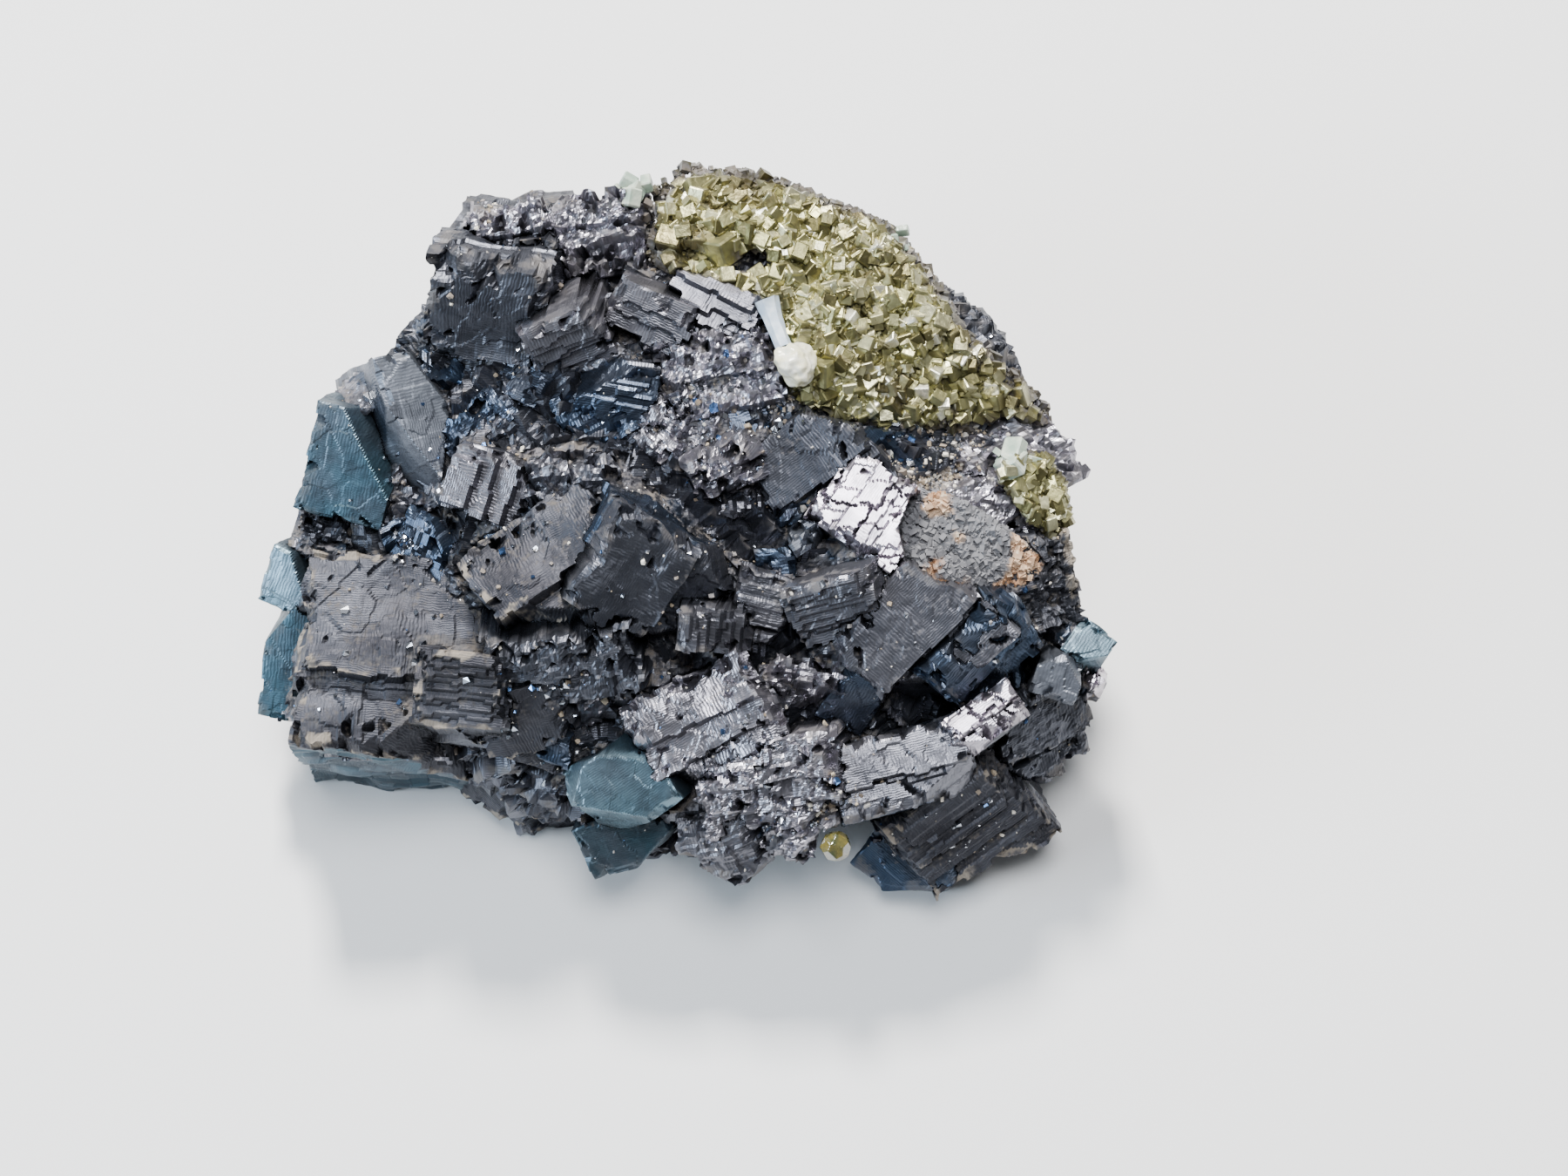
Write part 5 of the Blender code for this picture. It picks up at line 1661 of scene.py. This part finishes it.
class Looks:
    """The specimen's materials, built from shared node groups."""

    dust_colours = ((0.11, 0.094, 0.08), (0.068, 0.066, 0.07))

    def __init__(self) -> None:
        """Builds the shared groups."""
        self.dust = self.dust_group()

    @staticmethod
    def start(name: str) -> tuple[Material, Nodes, Node]:
        """A new material, its nodes and its Principled shader."""
        material = bpy.data.materials.new(name)
        material.use_nodes = True
        return material, Nodes(material.node_tree), material.node_tree.nodes["Principled BSDF"]

    def dust_group(self) -> NodeTree:
        """Settled dust: a patchy cover, thick where the Share is high, that hides what is under it.

        Returns:
            The group, with inputs Where and Share, and outputs Cover and Colour.
        """
        tree = bpy.data.node_groups.new("settled_dust", "ShaderNodeTree")
        for name, way, kind in (
            ("Where", "INPUT", "Vector"), ("Share", "INPUT", "Float"),
            ("Cover", "OUTPUT", "Float"), ("Colour", "OUTPUT", "Color"),
        ):
            tree.interface.new_socket(name, in_out=way, socket_type="NodeSocket" + kind)
        nodes = Nodes(tree)
        given = nodes.add("NodeGroupInput")
        where = given.outputs["Where"]
        fine = nodes.noise(where, 3400.0, 4.0)
        coarse = nodes.noise(where, 420.0, 3.0)
        patchy = nodes.math("ADD", nodes.times(fine, 0.9), nodes.times(coarse, 0.75))
        level = nodes.math("ADD", patchy, given.outputs["Share"])
        cover = nodes.band(level, 1.34, 1.74)
        hue = nodes.band(nodes.noise(where, 900.0, 3.0), 0.38, 0.62)
        first, second = self.dust_colours
        nodes.add("NodeGroupOutput", {"Cover": cover, "Colour": nodes.mix(hue, first, second)})
        return tree

    def settle(self, nodes: Nodes, where: NodeSocket, share: NodeSocket) -> tuple:
        """The dust group's cover and colour, with its inputs linked."""
        dust = nodes.add("Group", node_tree=self.dust)
        nodes.fill(dust, {"Where": where, "Share": share})
        return dust.outputs["Cover"], dust.outputs["Colour"]

    def galena(self) -> Material:
        """Lead-grey metal with fine cleavage lines, tarnish, pale edges, dust and painted shade in the hollows, and
        painted glints.
        """
        material, nodes, shader = self.start("galena")
        where = nodes.where()
        tint = nodes.attribute("tint", "Color")
        roughness, dustiness, lines = nodes.parts("finish")
        depth, _, level = nodes.parts("lie")
        share = nodes.times(nodes.band(level, 0.1, 0.85), dustiness)
        share = nodes.math("MULTIPLY_ADD", nodes.times(depth, dustiness), 0.6, share)
        settled, powder = self.settle(nodes, where, share)
        tarnish = nodes.noise(where, 700.0, 5.0)
        dark = nodes.mix(0.55, tint, (0.03, 0.032, 0.04))
        metal = nodes.mix(nodes.band(tarnish, 0.3, 0.75), tint, dark)
        # Painted glints: a share of small grains gets a pale metal colour that stands in for sparkle
        grains = nodes.add("TexVoronoi", {"Vector": where, "Scale": 4200.0})
        glint = nodes.band(nodes.times(grains.outputs["Color"], dustiness), 0.62, 0.66)
        metal = nodes.mix(nodes.times(glint, 0.8), metal, (0.62, 0.64, 0.68))
        patches = nodes.band(nodes.noise(where, 230.0, 4.0), 0.35, 0.68)
        metal = nodes.mix(patches, metal, nodes.mix(0.28, metal, (0.17, 0.18, 0.215)))
        # Painted shade: the metal turns near-black the deeper a point lies under the blurred top surface
        metal = nodes.mix(nodes.times(nodes.band(depth, 0.0, 0.9), 0.45), metal, (0.014, 0.016, 0.02))
        cleave = nodes.attribute("cleave", "Vector")
        along, over = nodes.waves(cleave, 2.3, 1.4, "Y"), nodes.waves(cleave, 1.7, 1.1, "X")
        ruled = nodes.blend(nodes.band(nodes.noise(where, 330.0, 2.0), 0.42, 0.58), along, over)
        relief = nodes.times(ruled, lines)
        relief = nodes.math("ADD", relief, nodes.times(nodes.noise(where, 2600.0, 6.0), 0.8))
        rough = nodes.math("ADD", roughness, nodes.times(nodes.noise(where, 1500.0, 3.0), 0.12))
        edge = nodes.times(nodes.band(depth, -0.12, -0.5), nodes.band(tarnish, 0.45, 0.6))
        edge = nodes.times(nodes.times(edge, dustiness), nodes.times(lines, 2.4))
        cover = nodes.math("MAXIMUM", settled, edge)
        colour = nodes.mix(cover, metal, nodes.mix(edge, powder, (0.28, 0.24, 0.19)))
        nodes.fill(shader, {
            "Base Color": colour,
            "Roughness": nodes.blend(cover, rough, 0.9),
            "Metallic": nodes.blend(cover, 0.92, 0.0),
            "Normal": nodes.bump(relief, 0.35, 0.00006),
        })
        return material

    def pyrite(self) -> Material:
        """Brass-yellow metal, each crystal its own tone, with olive and brown tarnish, painted highlights and
        painted shade in the seams.
        """
        material, nodes, shader = self.start("pyrite")
        where = nodes.where()
        pick = nodes.attribute("pick")
        base = nodes.mix(nodes.band(pick, 0.0, 0.5), (0.13, 0.118, 0.05), (0.34, 0.325, 0.16))
        base = nodes.mix(nodes.band(pick, 0.5, 0.93), base, (0.56, 0.54, 0.34))
        dull = nodes.band(nodes.noise(where, 260.0, 3.0), 0.45, 0.7)
        base = nodes.mix(nodes.times(dull, 0.75), base, (0.12, 0.1, 0.052))
        specks = nodes.band(nodes.noise(where, 1600.0, 6.0), 0.52, 0.7)
        base = nodes.mix(nodes.times(specks, 0.45), base, (0.13, 0.105, 0.055))
        # Painted highlights: a few crystals turn near-white, as if they caught the light
        base = nodes.mix(nodes.band(pick, 0.95, 0.97), base, (0.85, 0.83, 0.68))
        # Painted shade: the lower a point lies in the crust, the darker its colour; the same depth also adds dust
        sunk = nodes.band(nodes.attribute("sunk"), 0.1, 0.75)
        base = nodes.mix(nodes.times(sunk, 0.85), base, (0.045, 0.038, 0.024))
        cover, powder = self.settle(nodes, where, nodes.math("MULTIPLY_ADD", sunk, 0.35, 0.42))
        nodes.fill(shader, {
            "Base Color": nodes.mix(cover, base, powder),
            "Roughness": nodes.math("MULTIPLY_ADD", nodes.noise(where, 900.0, 4.0), 0.4, 0.22),
            "Metallic": nodes.blend(cover, 0.92, 0.05),
            "Normal": nodes.bump(nodes.noise(where, 1900.0, 6.0), 0.7, 0.00012),
        })
        return material

    def earthy(self) -> Material:
        """Orange-brown limonite with cream specks, grey in patches and towards its rim."""
        material, nodes, shader = self.start("limonite")
        where = nodes.where()
        clouds = nodes.band(nodes.noise(where, 500.0, 4.0), 0.4, 0.6)
        rust = nodes.mix(clouds, (0.33, 0.18, 0.095), (0.5, 0.35, 0.235))
        rust = nodes.mix(nodes.band(nodes.noise(where, 2200.0, 4.0), 0.58, 0.68), rust, (0.6, 0.5, 0.38))
        rim = nodes.times(nodes.band(nodes.attribute("sunk"), 0.45, 0.7), 0.4)
        grey = nodes.band(nodes.math("ADD", rim, nodes.noise(where, 330.0, 7.0)), 0.475, 0.54)
        nodes.fill(shader, {
            "Base Color": nodes.mix(grey, rust, (0.15, 0.15, 0.16)),
            "Roughness": 0.85,
            "Normal": nodes.bump(nodes.noise(where, 2600.0, 6.0), 0.6, 0.0001),
        })
        return material

    def crumbs(self) -> Material:
        """Crumbs of pale gangue: cream, tan and grey."""
        material, nodes, shader = self.start("gangue_crumbs")
        ramp = nodes.add("ValToRGB", {"Fac": nodes.attribute("pick")})
        elements = ramp.color_ramp.elements
        last = elements[1]
        last.position, last.color = 0.92, (0.75, 0.7, 0.6, 1.0)
        elements[0].color = (0.34, 0.28, 0.2, 1.0)
        for position, colour in ((0.3, (0.2, 0.155, 0.11, 1.0)), (0.6, (0.26, 0.24, 0.23, 1.0))):
            elements.new(position).color = colour
        nodes.fill(shader, {"Base Color": ramp.outputs["Color"], "Roughness": 0.75})
        return material

    def glints(self) -> Material:
        """Crumbs of fresh galena that catch the light, their palest and blue colours partly painted glints."""
        material, nodes, shader = self.start("galena_crumbs")
        pick = nodes.attribute("pick")
        # Painted glints: the palest of these colours and the blue share stand in for white and blue glints
        colour = nodes.mix(pick, (0.3, 0.33, 0.38), (0.75, 0.76, 0.8))
        colour = nodes.mix(nodes.band(pick, 0.9, 0.91), colour, (0.16, 0.3, 0.6))
        nodes.fill(shader, {"Base Color": colour, "Metallic": 1.0, "Roughness": 0.2})
        return material

    def quartz(self) -> Material:
        """A cloudy pale rod, and a milky yellowish knob."""
        material, nodes, shader = self.start("quartz")
        cloud = nodes.band(nodes.noise(nodes.where(), 1400.0, 4.0), 0.35, 0.7)
        rod = nodes.mix(cloud, (0.5, 0.62, 0.76), (0.82, 0.89, 0.95))
        knob = nodes.mix(cloud, (0.86, 0.82, 0.56), (0.95, 0.95, 0.86))
        base = nodes.mix(nodes.attribute("pick"), rod, knob)
        nodes.fill(shader, {"Base Color": base, "Roughness": 0.25, "IOR": 1.54, "Transmission Weight": 0.25})
        return material

    def pale(self) -> Material:
        """Cloudy green-white crystals."""
        material, nodes, shader = self.start("pale_crystals")
        cloud = nodes.noise(nodes.where(), 900.0, 4.0)
        base = nodes.mix(nodes.band(cloud, 0.35, 0.65), (0.32, 0.42, 0.34), (0.66, 0.7, 0.58))
        nodes.fill(shader, {"Base Color": base, "Roughness": 0.3, "IOR": 1.5, "Transmission Weight": 0.25})
        nodes.fill(shader, {"Normal": nodes.bump(cloud, 0.6, 0.0002)})
        return material

    def sphalerite(self) -> Material:
        """Honey-green glassy crystal."""
        material, nodes, shader = self.start("sphalerite")
        veil = nodes.band(nodes.noise(nodes.where(), 1300.0, 4.0), 0.4, 0.65)
        honey = nodes.mix(veil, (0.2, 0.16, 0.035), (0.06, 0.075, 0.03))
        nodes.fill(shader, {"Base Color": honey, "Roughness": 0.08, "IOR": 2.37, "Transmission Weight": 0.4})
        return material

    def floor(self) -> Material:
        """Plain pale ground."""
        material, nodes, shader = self.start("pale_ground")
        nodes.fill(shader, {"Base Color": (0.72, 0.72, 0.72, 1.0), "Roughness": 0.8})
        return material


@dataclass
class Studio:
    """A plain pale floor, soft light from the back, and a camera at the photograph's angle."""

    sensor: float = 36.0
    photo_width: float = 88.0

    def floor(self, material: Material) -> None:
        """A round pale floor that ends out of sight."""
        bpy.ops.mesh.primitive_circle_add(vertices=96, radius=1.2, fill_type="NGON")
        ground = bpy.context.object
        ground.name = "floor"
        ground.data.materials.append(material)

    def light(self, name: str, place: tuple, size: float, power: float, colour: tuple) -> None:
        """A soft square light that looks at the stone."""
        data = bpy.data.lights.new(name, "AREA")
        data.size = size
        data.energy = power
        data.color = colour
        made = bpy.data.objects.new(name, data)
        made.location = place
        made.rotation_euler = (Vector(place) - Vector((0.0, 0.0, 0.012))).to_track_quat("Z", "Y").to_euler()
        bpy.context.scene.collection.objects.link(made)

    def lights(self) -> None:
        """A strong light from behind, a weak one overhead, a bluish one at the side, a dim pale surround."""
        self.light("key", (-0.06, 0.34, 0.42), 0.09, 9.0, (1.0, 0.97, 0.93))
        self.light("overhead", (0.02, 0.02, 0.5), 0.2, 3.0, (0.95, 0.97, 1.0))
        self.light("side", (-0.45, -0.12, 0.22), 0.22, 3.4, (0.72, 0.86, 1.0))
        world = bpy.data.worlds.new("surround")
        world.use_nodes = True
        background = world.node_tree.nodes["Background"]
        Nodes(world.node_tree).fill(background, {"Color": (0.75, 0.78, 0.82, 1.0), "Strength": 0.2})
        bpy.context.scene.world = world

    def camera(self) -> None:
        """The camera, on the line of sight that the blocks are described in."""
        data = bpy.data.cameras.new("camera")
        data.sensor_width = self.sensor
        data.lens = self.sensor * VIEW.distance / self.photo_width
        data.clip_start = 0.001
        offset = np.array([VIEW.axis_across, VIEW.axis_up, VIEW.distance]) @ VIEW.axes
        turn = Matrix(VIEW.axes.tolist()).transposed().to_4x4()
        made = bpy.data.objects.new("camera", data)
        made.matrix_world = Matrix.Translation(Vector((np.array(VIEW.middle) + offset) * MM)) @ turn
        bpy.context.scene.collection.objects.link(made)
        bpy.context.scene.camera = made


def dress(piece: Object, material: Material, slot: str, node: str | None) -> None:
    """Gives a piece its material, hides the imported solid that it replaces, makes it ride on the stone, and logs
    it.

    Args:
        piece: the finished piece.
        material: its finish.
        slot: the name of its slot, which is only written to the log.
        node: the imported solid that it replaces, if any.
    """
    piece.data.materials.clear()
    piece.data.materials.append(material)
    if node:
        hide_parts(node)
    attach(piece, "root")
    log.info("%s: %d faces, %s", piece.name, len(piece.data.polygons), slot)


def main() -> None:
    """Builds the specimen and its studio."""
    logging.basicConfig(level=logging.INFO, format="%(message)s", force=True)
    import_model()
    looks = Looks()
    galena = looks.galena()
    masses = GalenaMass().build()
    for piece in masses:
        dress(piece, galena, "galena", "galena")
    meshes = [piece.data for piece in masses]
    gangue = Crumbs("gangue_crumbs", 3000, (0.06, 0.3), 0.2, 5, GANGUE_SPOTS)
    dress(gangue.build(meshes), looks.crumbs(), "limonite", None)
    sparkles = Crumbs("galena_crumbs", 2000, (0.06, 0.4), 0.25, 6, SPARKLE_SPOTS)
    dress(sparkles.build(meshes), looks.glints(), "galena", None)
    pyrite = looks.pyrite()
    crust = CrustPiece(
        "pyrite_crust", PYRITE_BED, 0.7, 8200, (0.2, 1.0), LARGE_PYRITES, 0.95, 31,
        cavity=(3.2, 15.7, 1.7, 0.8), spread=1.045,
    )
    dress(crust.build(), pyrite, "pyrite", "pyrite_crust")
    patch = CrustPiece("pyrite_side_patch", SIDE_BED, 0.6, 600, (0.2, 0.9), SIDE_PYRITES, 0.95, 32)
    dress(patch.build(), pyrite, "pyrite", "pyrite_side_patch")
    earth = CrustPiece(
        "limonite_patch", LIMONITE_BED, 0.3, 3000, (0.1, 0.5), (), 0.7, 33, uneven=0.45, ragged=0.13
    )
    dress(earth.build(), looks.earthy(), "limonite", "limonite_patch")
    dress(QuartzRod().build(), looks.quartz(), "quartz", "quartz_rod")
    dress(SphaleriteCrystal().build(), looks.sphalerite(), "sphalerite", "sphalerite_bead")
    dress(PaleCrystals().build(), looks.pale(), "quartz", None)
    studio = Studio()
    studio.floor(looks.floor())
    studio.lights()
    studio.camera()
    bpy.context.scene.view_settings.view_transform = "AgX"
    bpy.context.scene.view_settings.look = "AgX - Base Contrast"


if __name__ == "__main__":
    main()
